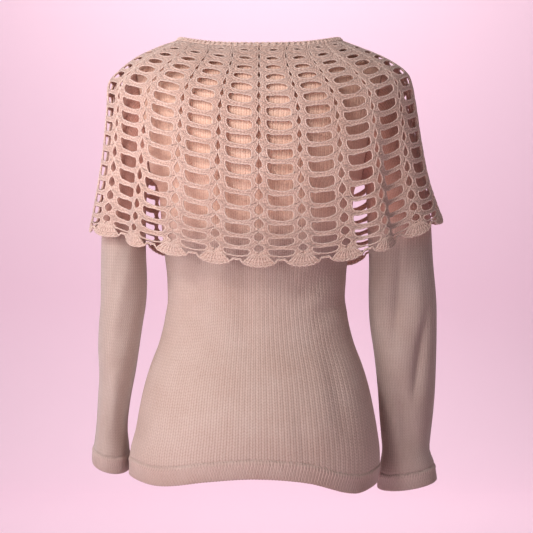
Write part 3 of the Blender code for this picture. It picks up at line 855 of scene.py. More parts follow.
@dataclass
class NeckLine:
    """The neck's edge, a loop that starts at the left shoulder and goes round by the centre back."""

    body: BodyForm = field(default_factory=BodyForm)
    fine: int = 6
    down_step: float = 0.35
    points: Array = field(init=False)
    normals: Array = field(init=False)
    ups: Array = field(init=False)

    def __post_init__(self) -> None:
        """Read the two panels' top edges and the way the cloth faces there."""
        start, end = self.body.shoulder_spans, self.body.spans - self.body.shoulder_spans
        steps = (end - start) * self.fine
        columns = [start + i / self.fine for i in range(steps)]
        points, downs = [], []
        for face, order in ((Face.BACK, columns), (Face.FRONT, [end + start - c for c in columns])):
            for column in order:
                top = self.body.upper(column, self.body.armhole_spans, face)
                points.append(top)
                downs.append(self.body.upper(column, self.body.armhole_spans - self.down_step, face) - top)
        self.points = np.array(points)
        along = unit(np.roll(self.points, -1, 0) - np.roll(self.points, 1, 0))
        normals = unit(np.cross(np.array(downs), along))
        for _ in range(2 * self.fine):
            normals = unit(np.roll(normals, 1, 0) + 2 * normals + np.roll(normals, -1, 0))
        self.normals = normals
        ups = unit(np.cross(along, normals))
        self.ups = ups * np.sign(ups[:, 2:3])

    def read(self, values: Array, columns: Array) -> Array:
        """Read the loop between its points.

        Args:
            values: the points or directions of the loop.
            columns: columns of the cape.

        Returns:
            The values at the columns.
        """
        count = len(values)
        along = (columns * self.fine + count / 4) % count
        index = along.astype(int)
        share = (along - index)[:, None]
        return values[index] * (1 - share) + values[(index + 1) % count] * share

    def place(self, columns: Array, runs: Array, outs: Array) -> Array:
        """Points at columns, with runs going down from the seam and outs away from the knit cloth."""
        columns, runs, outs = np.broadcast_arrays(columns, runs, outs)
        return (self.read(self.points, columns) + self.read(self.normals, columns) * outs[:, None]
                - self.read(self.ups, columns) * runs[:, None])

    def width(self, runs: Array) -> Array:
        """How wide one column is."""
        way = np.linalg.norm(np.roll(self.points, -1, 0) - self.points, axis=1).sum()
        return np.full(np.shape(runs), way / (len(self.points) / self.fine))


@dataclass
class CapeForm:
    """The cape's outer face, sampled finely; column 0 is the centre back, higher ones go to the right."""

    neck: NeckLine
    repeats: int = 22
    length: float = 0.299
    centre: float = 0.004
    section: float = 2.3
    settle: float = 0.045
    lift_left: float = 1.6
    lift_right: float = 2.5
    ring_steps: int = 180
    off_panel: float = 0.0010
    cloth: float = 0.0036
    beside: float = 0.01
    fine: int = 12
    run_step: float = 0.0025
    below: float = 0.020
    down: float = 0.004
    points: Array = field(init=False)
    normals: Array = field(init=False)
    widths: Array = field(init=False)

    def __post_init__(self) -> None:
        """Sample the face, and carry it on straight below the hem for the scalloped edge."""
        spans = int(round(self.length / self.run_step))
        self.run_step = self.length / spans
        columns = np.arange(self.repeats * self.fine) / self.fine
        rows = [self.ring(columns, r * self.run_step) for r in range(spans + 1)]
        before = self.ring(columns, self.length - self.down)
        fall = unit(rows[-1] - before)
        extra = int(round(self.below / self.run_step))
        rows += [rows[-1] + fall * self.run_step * (i + 1) for i in range(extra)]
        self.points = np.array(rows)
        across = np.roll(self.points, -1, 1) - np.roll(self.points, 1, 1)
        downs = np.gradient(self.points, axis=0)
        self.normals = unit(np.cross(downs, across))
        steps = np.linalg.norm(np.roll(self.points, -1, 1) - self.points, axis=2)
        self.widths = steps.sum(axis=1) / self.repeats

    def form(self, angles: Array, run: float) -> Array:
        """The cape before it is folded.

        Args:
            angles: 0 is the centre back and a quarter turn the right side.
            run: how far down from the neck seam.

        Returns:
            A point for each angle.
        """
        sine, cosine = np.sin(angles), np.cos(angles)
        right, behind = sine >= 0, cosine >= 0
        row = row_at(CAPE, run)
        reach = np.where(right, row.right - self.centre, row.left + self.centre)
        share = np.abs(sine) ** (2 / self.section)
        depth = np.where(behind, row.back, row.front) * np.abs(cosine) ** (2 / self.section)
        lift = share ** np.where(right, self.lift_right, self.lift_left)
        middle = np.where(behind, row.back_z, row.front_z)
        side = np.where(right, row.right_z, row.left_z)
        height = middle + (side - middle) * lift
        return np.stack((self.centre + np.copysign(reach * share, sine),
                         np.where(behind, -depth, depth), height), axis=-1)

    def angles(self, columns: Array, run: float) -> Array:
        """Space columns evenly round the cape.

        Args:
            columns: the columns.
            run: how far down from the neck seam.

        Returns:
            The angle at which each stands.
        """
        turns = np.linspace(0, 2 * math.pi, self.ring_steps + 1)
        way = travelled(self.form(turns, run))
        return np.interp((columns / self.repeats) % 1.0 * way[-1], way, turns)

    def fold(self, columns: Array, run: float) -> Array:
        """How far the folds move the cape in.

        Args:
            columns: where round the cape.
            run: how far down from the neck seam.

        Returns:
            The depth at each column.
        """
        total = np.zeros_like(columns)
        for fold in CAPE_FOLDS:
            away = (columns - fold.column + self.repeats / 2) % self.repeats - self.repeats / 2
            grown = smooth((run - fold.start) / (self.length - fold.start))
            total += fold.depth * grown * np.exp(-(away / fold.width) ** 2)
        return total

    def ring(self, columns: Array, run: float) -> Array:
        """The outer face at one run.

        Args:
            columns: where round the cape.
            run: how far down from the neck seam.

        Returns:
            A point for each column.
        """
        angles = self.angles(columns, run)
        points = self.form(angles, run)
        beside = self.form(angles + self.beside, run) - self.form(angles - self.beside, run)
        inwards = unit(np.stack((-beside[:, 1], beside[:, 0], np.zeros(len(columns))), axis=-1))
        points = points + inwards * self.fold(columns, run)[:, None]
        if run < self.settle:
            out = np.full(len(columns), self.off_panel + self.cloth)
            start = self.neck.place(columns, np.zeros(len(columns)), out)
            points += (start - self.form(self.angles(columns, 0.0), 0.0)) * (1 - run / self.settle) ** 2
        return points

    def place(self, columns: Array, runs: Array, outs: Array) -> Array:
        """Read the face between its samples.

        Args:
            columns: where round the cape.
            runs: how far down from the neck seam.
            outs: how far out from the face.

        Returns:
            A point for each.
        """
        columns, runs, outs = np.broadcast_arrays(columns, runs, outs)
        count = self.points.shape[1]
        across = (columns * self.fine) % count
        left = np.minimum(across.astype(int), count - 1)
        part = (across - left)[:, None]
        down = np.clip(runs / self.run_step, 0, len(self.points) - 1.001)
        high = down.astype(int)
        share = (down - high)[:, None]
        right = (left + 1) % count

        def mixed(values: Array) -> Array:
            """Values between the four samples round each place."""
            upper = values[high, left] * (1 - part) + values[high, right] * part
            lower = values[high + 1, left] * (1 - part) + values[high + 1, right] * part
            return upper * (1 - share) + lower * share

        return mixed(self.points) + unit(mixed(self.normals)) * outs[:, None]

    def width(self, runs: Array) -> Array:
        """How wide one repeat is at each run."""
        return np.interp(runs, np.arange(len(self.widths)) * self.run_step, self.widths)


@dataclass
class Wiring:
    """Adds nodes to one tree and joins them."""

    tree: NodeTree

    def add(self, kind: str, inputs: dict[str | int, object] | None = None, **settings: object) -> Node:
        """Add a node.

        Args:
            kind: its type.
            inputs: an output to join or a value to set for an input's name or number.
            settings: the node's own settings.

        Returns:
            The node.
        """
        node = self.tree.nodes.new(kind)
        for name, value in settings.items():
            setattr(node, name, value)
        self.feed(node, inputs or {})
        return node

    def feed(self, node: Node, inputs: dict[str | int, object]) -> None:
        """Join outputs to a node's inputs, or set their values.

        Args:
            node: the node.
            inputs: an output or a value for an input's name or number.
        """
        for name, value in inputs.items():
            if isinstance(value, NodeSocket):
                self.tree.links.new(value, node.inputs[name])
            else:
                node.inputs[name].default_value = value

    def math(self, operation: str, *values: object) -> NodeSocket:
        """Add a Math node on numbers or outputs, and give its result."""
        return self.add("ShaderNodeMath", dict(enumerate(values)), operation=operation).outputs[0]

    def dressed(self, geometry: NodeSocket, material: NodeSocket) -> NodeSocket:
        """Make a geometry's instances real and give it a material."""
        real = self.add("GeometryNodeRealizeInstances", {"Geometry": geometry}).outputs[0]
        return self.add("GeometryNodeSetMaterial", {"Geometry": real, "Material": material}).outputs[0]

    def humps(self, value: object) -> NodeSocket:
        """A row of half waves, one for each whole step of a value."""
        return self.math("SINE", self.math("MULTIPLY", self.math("FRACT", value), math.pi))

    def noise(self, vector: NodeSocket, scale: float, detail: float) -> NodeSocket:
        """Add soft noise on a place, and give its value."""
        values = {"Vector": vector, "Scale": scale, "Detail": detail}
        return self.add("ShaderNodeTexNoise", values).outputs["Fac"]

    def mix(self, share: object, start: object, end: object) -> NodeSocket:
        """Mix two colours by a share."""
        return self.add("ShaderNodeMix", {"Factor": share, 6: start, 7: end}, data_type="RGBA").outputs[2]


def node_group(name: str, kind: str, inputs: dict[str, str],
               outputs: dict[str, str]) -> tuple[Wiring, Node, Node]:
    """Start a group of nodes.

    Args:
        name: what it is called.
        kind: Shader or Geometry.
        inputs: the type of socket for each input's name.
        outputs: the type of socket for each output's name.

    Returns:
        The wiring of its tree, its input node and its output node.
    """
    tree = bpy.data.node_groups.new(name, kind + "NodeTree")
    for way, sockets in (("INPUT", inputs), ("OUTPUT", outputs)):
        for socket, its_type in sockets.items():
            tree.interface.new_socket(socket, in_out=way, socket_type="NodeSocket" + its_type)
    wire = Wiring(tree)
    return wire, wire.add("NodeGroupInput"), wire.add("NodeGroupOutput")


def stitch_group(stitch: Stitch) -> NodeTree:
    """Make the group that draws one stitch from a piece's UV map.

    Args:
        stitch: which one.

    Returns:
        A group with Height and Cavity outputs, both from 0 to 1; Cavity is the mask where painted shade
        darkens the hollows between stitches.
    """
    plies, post_lean, row_edge, ridge_share = 2.0, 0.45, 5.0, 0.75
    leg_at, bead_share, bead_shade, fade_start, fade = 0.25, 0.55, 0.38, 0.60, 0.09
    wire, source, result = node_group(stitch.value, "Shader", {"UV": "Vector"},
                                      {"Height": "Float", "Cavity": "Float"})
    across, along = wire.add("ShaderNodeSeparateXYZ", {0: source.outputs["UV"]}).outputs[:2]
    if stitch is Stitch.TWIST:
        height = open_it = wire.humps(wire.math("MULTIPLY_ADD", along, plies, across))
    elif stitch is Stitch.CROCHET:
        ridge = wire.humps(wire.math("MULTIPLY_ADD", along, post_lean, across))
        row = wire.math("MULTIPLY_ADD", wire.math("FRACT", along), 2.0, -1.0)
        flat = wire.math("SUBTRACT", 1.0, wire.math("POWER", wire.math("ABSOLUTE", row), row_edge))
        post = wire.math("MULTIPLY_ADD", ridge, ridge_share, 1 - ridge_share)
        height = open_it = wire.math("MULTIPLY", post, flat)
    else:
        slant = 1.1 if stitch is Stitch.STOCKINETTE else 2.2
        away = wire.math("ABSOLUTE", wire.math("SUBTRACT", wire.math("FRACT", across), 0.5))
        beside = wire.math("DIVIDE", wire.math("SUBTRACT", away, leg_at), leg_at)
        leg = wire.math("SQRT", wire.math("MAXIMUM", 0.0, wire.math(
            "SUBTRACT", 1.0, wire.math("MULTIPLY", beside, beside))))
        bead = wire.humps(wire.math("SUBTRACT", along, wire.math("MULTIPLY", away, slant)))
        height = wire.math("MULTIPLY", leg, wire.math("MULTIPLY_ADD", bead, bead_share, 1 - bead_share))
        open_it = wire.math("MULTIPLY", leg, wire.math("MULTIPLY_ADD", bead, bead_shade, 1 - bead_shade))
        # On a band the painted hollow shade is strongest at its lower edge and fades towards its ridge.
        if stitch is Stitch.BAND:
            open_it = wire.math("MULTIPLY", open_it, wire.math("MULTIPLY_ADD", along, fade, fade_start))
    wire.feed(result, {"Height": height, "Cavity": wire.math("SUBTRACT", 1.0, open_it)})
    return wire.tree


def fuzz_group() -> NodeTree:
    """Make the group of wool's fibres.

    Returns:
        A group with a Height for their fuzz and a Mottle for its uneven dye.
    """
    wire, source, result = node_group("Wool Fuzz", "Shader", {"Vector": "Vector"},
                                      {"Height": "Float", "Mottle": "Float"})
    vector, fine_share, fleck_share = source.outputs["Vector"], 0.4, 0.45
    coarse = wire.noise(vector, scale=900.0, detail=2.0)
    fine = wire.noise(vector, scale=3000.0, detail=1.0)
    patches = wire.noise(vector, scale=22.0, detail=2.0)
    flecks = wire.noise(vector, scale=420.0, detail=1.0)
    mottle = wire.math("MULTIPLY_ADD", flecks, fleck_share, wire.math("MULTIPLY", patches, 1 - fleck_share))
    wire.feed(result, {"Height": wire.math("MULTIPLY_ADD", fine, fine_share, coarse), "Mottle": mottle})
    return wire.tree


def tone_group() -> NodeTree:
    """Make the group that colours wool.

    Returns:
        A group whose Colour is lighter or darker by Mottle, and darkened by Cavity with painted shade in the
        hollows between stitches.
    """
    wire, source, result = node_group("Wool Tone", "Shader", {
        "Colour": "Color", "Deep": "Color", "Cavity": "Float", "Mottle": "Float"}, {"Colour": "Color"})
    hollow, value_from, value_by, full, full_by = 1.5, 0.82, 0.36, 1.25, -0.5
    given = source.outputs
    # Painted shade: the hollows between stitches take the deep colour.
    painted_hollow_shade = wire.mix(wire.math("POWER", given["Cavity"], hollow), given["Colour"], given["Deep"])
    shade = wire.add("ShaderNodeHueSaturation", {
        "Value": wire.math("MULTIPLY_ADD", given["Mottle"], value_by, value_from),
        "Saturation": wire.math("MULTIPLY_ADD", given["Mottle"], full_by, full), "Color": painted_hollow_shade})
    wire.feed(result, {"Colour": shade.outputs[0]})
    return wire.tree


@dataclass(frozen=True)
class WoolFinish:
    """A wool surface: its colours, its stitch and how it takes the light."""

    name: str
    colour: Colour
    # The deep colour is painted shade, mixed in where the stitches' hollows are.
    deep: Colour
    stitch: Stitch
    stitch_depth: float
    fuzz_depth: float
    # The upper colours and the heights of their ramp paint light and shade by height: a painted warm glow on
    # the body and painted shade on the sleeves under the cape, and painted shade on the cape's lower part.
    painted_light_top: Colour | None = None
    painted_light_top_deep: Colour | None = None
    painted_light_from: float = -0.286
    painted_light_to: float = -0.222
    roughness: float = 0.92
    sheen: float = 0.30
    sheen_roughness: float = 0.55
    sheen_tint: Colour = (1.0, 0.9, 0.88)
    specular: float = 0.25

    def material(self, groups: dict[str, NodeTree]) -> Material:
        """Make the finish's material.

        Args:
            groups: the shared shader groups by name.

        Returns:
            The material.
        """
        made = bpy.data.materials.new(self.name)
        made.use_nodes = True
        wire = Wiring(made.node_tree)
        place = wire.add("ShaderNodeTexCoord").outputs["Object"]
        fuzz = wire.add("ShaderNodeGroup", {"Vector": place}, node_tree=groups["Wool Fuzz"]).outputs
        sheet = wire.add("ShaderNodeUVMap", uv_map="UVMap").outputs["UV"]
        stitch = wire.add("ShaderNodeGroup", {"UV": sheet}, node_tree=groups[self.stitch.value]).outputs
        # The tone paints shade into the stitches' hollows, and the ramp by height paints light and shade.
        tone = wire.add("ShaderNodeGroup", {
            "Colour": self.ground(wire, place, self.colour, self.painted_light_top),
            "Deep": self.ground(wire, place, self.deep, self.painted_light_top_deep),
            "Cavity": stitch["Cavity"], "Mottle": fuzz["Mottle"]}, node_tree=groups["Wool Tone"])
        raised = wire.math("MULTIPLY", stitch["Height"], self.stitch_depth)
        height = wire.math("MULTIPLY_ADD", fuzz["Height"], self.fuzz_depth, raised)
        bump = wire.add("ShaderNodeBump", {"Distance": 1.0, "Strength": 1.0, "Height": height})
        wire.feed(made.node_tree.nodes["Principled BSDF"], {
            "Base Color": tone.outputs["Colour"], "Normal": bump.outputs["Normal"],
            "Roughness": self.roughness, "Sheen Weight": self.sheen,
            "Sheen Roughness": self.sheen_roughness, "Sheen Tint": (*self.sheen_tint, 1.0),
            "Specular IOR Level": self.specular})
        return made

    def ground(self, wire: Wiring, place: NodeSocket, colour: Colour, upper: Colour | None) -> object:
        """Give a colour that turns into another high on the garment.

        Args:
            wire: the material's wiring.
            place: the point of the garment that is coloured.
            colour: the colour below.
            upper: the colour above, or nothing if it is the same; the change from one to the other is
                painted light and shade, not a change in the wool.

        Returns:
            The colour, or the output that carries it.
        """
        # This ramp by height paints light and shade into the colour, standing in for the glow and shade
        # under the cape.
        if upper is None:
            return (*colour, 1.0)
        height = wire.add("ShaderNodeSeparateXYZ", {0: place}).outputs[2]
        painted_light_mask = wire.add("ShaderNodeMapRange", interpolation_type="SMOOTHSTEP", inputs={
            "Value": height, "From Min": self.painted_light_from, "From Max": self.painted_light_to})
        return wire.mix(painted_light_mask.outputs["Result"], (*colour, 1.0), (*upper, 1.0))


# The body's upper colours are a painted warm glow under the cape, where light bounces off the cape and
# shines through the wool.
BODY_WOOL = WoolFinish("Pale Pink Stockinette", (0.580, 0.425, 0.370), (0.345, 0.212, 0.176),
                       Stitch.STOCKINETTE, 0.00055, 0.00022, painted_light_top=(1.000, 0.680, 0.540),
                       painted_light_top_deep=(0.720, 0.370, 0.270))
# The sleeves' upper colours are painted shade under the cape, darker and redder.
SLEEVE_WOOL = WoolFinish("Sleeve Stockinette", (0.570, 0.435, 0.385), (0.260, 0.150, 0.125),
                         Stitch.STOCKINETTE, 0.00036, 0.00022, painted_light_top=(0.700, 0.370, 0.300),
                         painted_light_top_deep=(0.420, 0.200, 0.150), sheen=0.40)
CUFF_WOOL = WoolFinish("Cuff Wool", (0.660, 0.500, 0.450), (0.300, 0.180, 0.155),
                       Stitch.BAND, 0.00060, 0.00022)
BAND_WOOL = WoolFinish("Turned Band Wool", (0.650, 0.470, 0.415), (0.310, 0.180, 0.150),
                       Stitch.BAND, 0.00060, 0.00022)
# Both cape finishes are painted darker towards the hem as shade, below their lighter upper colours.
CAPE_WOOL = WoolFinish("Crochet Yarn", (0.765, 0.560, 0.485), (0.510, 0.315, 0.252),
                       Stitch.TWIST, 0.00030, 0.00030, painted_light_top=(0.900, 0.662, 0.578),
                       painted_light_top_deep=(0.600, 0.370, 0.300), painted_light_from=-0.270, painted_light_to=-0.170, sheen=0.45)
CAPE_CLOTH = WoolFinish("Crochet Cloth", (0.665, 0.445, 0.378), (0.400, 0.220, 0.178),
                        Stitch.CROCHET, 0.00060, 0.00045, painted_light_top=(0.820, 0.545, 0.456),
                        painted_light_top_deep=(0.440, 0.235, 0.188), painted_light_from=-0.270, painted_light_to=-0.170, sheen=0.45)


def yarn_tree() -> NodeTree:
    """Make the Geometry Nodes tree that turns paths into round strands of yarn.

    Returns:
        A tree whose yarn has a UV map: turns of the twist along it, and one turn round it.
    """
    wire, source, result = node_group("Yarn", "Geometry", {
        "Paths": "Geometry", "Yarn Sides": "Int", "Twist Length": "Float", "Finish": "Material"},
        {"Yarn": "Geometry"})
    parameter = wire.add("GeometryNodeSplineParameter").outputs
    along = wire.add("GeometryNodeCaptureAttribute", domain="POINT")
    along.capture_items.new("FLOAT", "Along")
    wire.feed(along, {"Geometry": source.outputs["Paths"], "Along": parameter["Length"]})
    circle = wire.add("GeometryNodeCurvePrimitiveCircle", {
        "Resolution": source.outputs["Yarn Sides"], "Radius": 1.0})
    about = wire.add("GeometryNodeCaptureAttribute", domain="POINT")
    about.capture_items.new("FLOAT", "About")
    wire.feed(about, {"Geometry": circle.outputs["Curve"], "About": parameter["Factor"]})
    turn = about.outputs["About"]
    tube = wire.add("GeometryNodeCurveToMesh", {
        "Curve": along.outputs["Geometry"], "Profile Curve": about.outputs["Geometry"],
        "Scale": wire.add("GeometryNodeInputRadius").outputs["Radius"], "Fill Caps": True})
    average = wire.add("GeometryNodeFieldOnDomain", {0: turn}, data_type="FLOAT", domain="FACE")
    last = wire.math("MULTIPLY", wire.math("LESS_THAN", turn, 0.01),
                     wire.math("GREATER_THAN", average.outputs[0], 0.25))
    twists = wire.math("DIVIDE", along.outputs["Along"], source.outputs["Twist Length"])
    place = wire.add("ShaderNodeCombineXYZ", {0: twists, 1: wire.math("ADD", turn, last)})
    store = wire.add("GeometryNodeStoreNamedAttribute", data_type="FLOAT2", domain="CORNER", inputs={
        "Name": "UVMap", "Geometry": tube.outputs["Mesh"], "Value": place.outputs[0]})
    soft = wire.add("GeometryNodeSetShadeSmooth", {"Geometry": store.outputs["Geometry"]})
    wire.feed(result, {"Yarn": wire.dressed(soft.outputs["Geometry"], source.outputs["Finish"])})
    return wire.tree


def ribs_tree() -> NodeTree:
    """Make the Geometry Nodes tree that raises a cloth's wales into ribs.

    Returns:
        A tree for cloth with two attributes: wale counts its wales from edge to edge, and raise says
        how strongly the ribs stand at each point.
    """
    wire, source, result = node_group("Knit Ribs", "Geometry", {
        "Cloth": "Geometry", "Relief": "Float", "Finish": "Material"}, {"Knit": "Geometry"})
    wale, strength = (wire.add("GeometryNodeInputNamedAttribute", {"Name": name}, data_type="FLOAT")
                      for name in ("wale", "raise"))
    wave = wire.math("COSINE", wire.math("MULTIPLY", wale.outputs["Attribute"], 2 * math.pi))
    relief = wire.math("MULTIPLY", strength.outputs["Attribute"], source.outputs["Relief"])
    offset = wire.add("ShaderNodeVectorMath", operation="SCALE", inputs={
        0: wire.add("GeometryNodeInputNormal").outputs["Normal"],
        "Scale": wire.math("MULTIPLY", wire.math("MULTIPLY", wave, -1.0), relief)})
    moved = wire.add("GeometryNodeSetPosition", {
        "Geometry": source.outputs["Cloth"], "Offset": offset.outputs[0]})
    wire.feed(result, {"Knit": wire.dressed(moved.outputs["Geometry"], source.outputs["Finish"])})
    return wire.tree


def applied(obj: Object, tree: NodeTree, values: dict[str, object]) -> Object:
    """Run a Geometry Nodes tree on an object and keep the result as a plain mesh.

    Args:
        obj: what it runs on; it is removed.
        tree: the tree.
        values: its inputs by name.

    Returns:
        A new object of the same name.
    """
    modifier = obj.modifiers.new(tree.name, "NODES")
    modifier.node_group = tree
    for item in tree.interface.items_tree:
        if item.in_out == "INPUT" and item.name in values:
            modifier[item.identifier] = values[item.name]
    graph = bpy.context.evaluated_depsgraph_get()
    mesh = bpy.data.meshes.new_from_object(obj.evaluated_get(graph))
    name = obj.name
    bpy.data.objects.remove(obj)
    mesh.name = name
    return linked(name, mesh)


@dataclass
class Workshop:
    """What every piece is made with: the node trees and the materials."""

    yarn: NodeTree
    ribs: NodeTree
    materials: dict[str, Material]

    @classmethod
    def open(cls, finishes: Iterable[WoolFinish]) -> "Workshop":
        """Fit the workshop out.

        Args:
            finishes: the finishes that materials are made for.

        Returns:
            The workshop.
        """
        groups = {stitch.value: stitch_group(stitch) for stitch in Stitch}
        groups["Wool Fuzz"] = fuzz_group()
        groups["Wool Tone"] = tone_group()
        return cls(yarn_tree(), ribs_tree(), {each.name: each.material(groups) for each in finishes})


@dataclass
class YarnWork:
    """Strands of yarn worked on a face of cloth, gathered into one piece."""

    name: str
    form: NeckLine | CapeForm
    finish: WoolFinish = CAPE_WOOL
    sides: int = 4
    twist_length: float = 0.006
    strands: list[tuple[Array, Array]] = field(default_factory=list)

    def lay(self, columns: Array, runs: Array, outs: Array, radii: Array) -> None:
        """Lay one strand, given as columns, runs and outs on the cloth and the strand's radii."""
        points = self.form.place(columns, runs, outs)
        self.strands.append((points, np.broadcast_to(radii, len(points))))

    def twist(self, columns: Array, runs: Array, outs: Array, rope: Rope, start: float) -> None:
        """Lay a rope along a way on the cloth.

        Args:
            columns: columns along the way.
            runs: runs along it.
            outs: how far it stands out.
            rope: its strands.
            start: where in its turn it starts.
        """
        wide = self.form.width(runs)
        across, down = np.gradient(columns) * wide, np.gradient(runs)
        length = np.hypot(across, down)
        way = np.concatenate(([0.0], np.cumsum((length[1:] + length[:-1]) / 2)))
        for ply in range(rope.plies):
            turn = 2 * math.pi * (way / rope.pitch + ply / rope.plies + start)
            aside = rope.lay_radius * np.cos(turn)
            self.lay(columns + aside * down / length / wide, runs - aside * across / length,
                     outs + rope.lay_radius * np.sin(turn), rope.yarn_radius)

    def build(self, shop: Workshop) -> Object:
        """Make the strands one mesh.

        Args:
            shop: the trees and materials.

        Returns:
            The finished object.
        """
        curve = bpy.data.curves.new(self.name, "CURVE")
        curve.dimensions = "3D"
        for points, radii in self.strands:
            spline = curve.splines.new("POLY")
            spline.points.add(len(points) - 1)
            flat = np.concatenate((points, np.ones((len(points), 1))), axis=1)
            spline.points.foreach_set("co", flat.astype(np.float32).ravel())
            spline.points.foreach_set("radius", np.ascontiguousarray(radii, dtype=np.float32))
        return applied(linked(self.name, curve), shop.yarn, {
            "Yarn Sides": self.sides, "Twist Length": self.twist_length,
            "Finish": shop.materials[self.finish.name]})


@dataclass
class ClothGrid:
    """Rows of points of a piece of cloth, with its stitches counted along both ways."""

    name: str
    points: Array
    wales: Array
    courses: Array
    raised: Array
    slant: float = 0.0
    closed: bool = False
    profile_closed: bool = False

    def normals(self) -> Array:
        """Outward normals of the grid's points."""
        across = steps_between(self.points, 1, self.closed)
        return unit(np.cross(across, np.gradient(self.points, axis=0)))

    def build(self, shop: Workshop, finish: WoolFinish, relief: float) -> Object:
        """Make the grid one mesh, with ribs raised along its wales.

        Args:
            shop: the trees and materials.
            finish: the cloth's finish.
            relief: height of the ribs.

        Returns:
            The finished object.
        """
        rows, columns = self.points.shape[:2]
        spans = (rows if self.profile_closed else rows - 1, columns if self.closed else columns - 1)
        r, c = (part.ravel() for part in np.indices(spans))
        after, above = (c + 1) % columns, (r + 1) % rows
        faces = np.stack((r * columns + c, r * columns + after, above * columns + after,
                          above * columns + c), axis=1)
        caps = []
        if self.profile_closed and not self.closed:
            start = np.arange(rows) * columns
            caps = [start.tolist(), (start + columns - 1)[::-1].tolist()]
        wide = np.append(self.wales, 2 * self.wales[-1] - self.wales[-2])
        tall = np.append(self.courses, 2 * self.courses[-1] - self.courses[-2])
        corners = [np.stack((wide[c + right] + self.slant * tall[r + up], tall[r + up]), axis=1)
                   for right, up in ((0, 0), (1, 0), (1, 1), (0, 1))]
        mesh = mapped_mesh(self.name, self.points, faces.tolist() + caps, np.stack(corners, axis=1))
        for name, values in (("wale", self.wales + self.slant * self.courses[:, None]),
                             ("raise", np.broadcast_to(self.raised, (rows, columns)))):
            attribute = mesh.attributes.new(name, "FLOAT", "POINT")
            attribute.data.foreach_set("value", np.ascontiguousarray(values, dtype=np.float32).ravel())
        made = applied(linked(self.name, mesh), shop.ribs, {
            "Relief": relief, "Finish": shop.materials[finish.name]})
        for name in ("wale", "raise"):
            made.data.attributes.remove(made.data.attributes[name])
        return made


def thickened(obj: Object, thickness: float) -> None:
    """Give a cloth its thickness, inwards from its face.

    Args:
        obj: the cloth.
        thickness: how thick it is.
    """
    wall = obj.modifiers.new("Cloth thickness", "SOLIDIFY")
    wall.thickness = thickness
    wall.offset = -1.0
    wall.use_even_offset = True


def declare(obj: Object, node: str) -> None:
    """Hang a piece on the root, hide the solid it stands for, and log its size.

    Args:
        obj: the piece.
        node: the solid it replaces.
    """
    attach(obj, "root")
    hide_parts(node)
    mesh = obj.evaluated_get(bpy.context.evaluated_depsgraph_get()).to_mesh()
    mesh.calc_loop_triangles()
    area = sum(polygon.area for polygon in mesh.polygons)
    LOG.info("%s: %d triangles, half surface %.4f m2", obj.name, len(mesh.loop_triangles), area / 2)


@dataclass
class KnitPanel:
    """The stockinette back or front of the body."""

    face: Face
    flat: tuple[float, float]
    area: float
    form: BodyForm = BodyForm()
    wales: int = 62
    per_wale: int = 3
    course: float = 0.00385
    row_step: float = 0.0072
    upper_way: float = 0.19
    band_top: float = 0.0215
    relief: float = 0.00045
    sink: float = 0.0006
    sink_beside: float = 0.4
    crease_end: float = 0.02
    crease_bend: float = 0.8
    bank: float = 0.45
    bank_at: float = 1.9
    thickness: float = 0.0020

    def rows(self) -> Array:
        """Find the panel's points.

        Returns:
            Rows of points from just below the hem band's top edge to the shoulders.
        """
        columns = self.form.even_columns(self.face, self.wales * self.per_wale)
        if self.face is Face.FRONT:
            columns = columns[::-1]
        hems = [self.form.hem(c, self.face) + self.band_top for c in columns]
        low = round((self.form.armpit_z - min(hems)) / self.row_step)
        high = round(self.upper_way / self.row_step)
        rows = [[self.form.level(c, blend(hem, self.form.armpit_z, r / low), self.face)
                 for c, hem in zip(columns, hems)] for r in range(low)]
        rows += [[self.form.upper(c, self.form.armhole_spans * r / high, self.face) for c in columns]
                 for r in range(high + 1)]
        return np.array(rows)

    def creased(self, points: Array, normals: Array) -> Array:
        """Press the soft creases into the cloth, each with a low swell along both its sides.

        Args:
            points: the cloth's points.
            normals: the way it faces at each.

        Returns:
            The moved points.
        """
        depth = np.zeros(points.shape[:2])
        for crease in CREASES[self.face]:
            start = np.array((crease.start_x, crease.start_z))
            way = np.array((crease.end_x, crease.end_z)) - start
            away = points[..., (0, 2)] - start
            share = np.clip((away @ way) / (way @ way), 0, 1)
            beside = np.linalg.norm(away - share[..., None] * way, axis=-1) / crease.width
            along = np.clip(share, self.crease_end, 1 - self.crease_end)
            swell = np.sin(math.pi * along) ** self.crease_bend
            banks = self.bank * np.exp(-(beside - self.bank_at) ** 2)
            depth += crease.depth * swell * (np.exp(-beside ** 2) - banks)
        return points - normals * depth[..., None]

    def build(self, shop: Workshop) -> None:
        """Args:
            shop: the trees and materials.
        """
        points = self.rows()
        columns = points.shape[1]
        way = travelled(points[:, columns // 2])
        wales = np.arange(columns) / self.per_wale
        raised = np.ones(points.shape[:2])
        raised[:, (0, -1)] = 0.0
        raised[-1] = 0.0
        grid = ClothGrid(f"{self.face.value}_stockinette", points, wales, way / self.course, raised)
        normals = grid.normals()
        sunk = np.zeros(points.shape[:2])
        sunk[:, (0, -1)] = self.sink
        sunk[:, (1, -2)] = self.sink * self.sink_beside
        sunk[-1] = self.sink
        grid.points = self.creased(points, normals) - normals * sunk[..., None]
        obj = grid.build(shop, BODY_WOOL, self.relief)
        thickened(obj, self.thickness)
        declare(obj, f"{self.face.value}_panel")


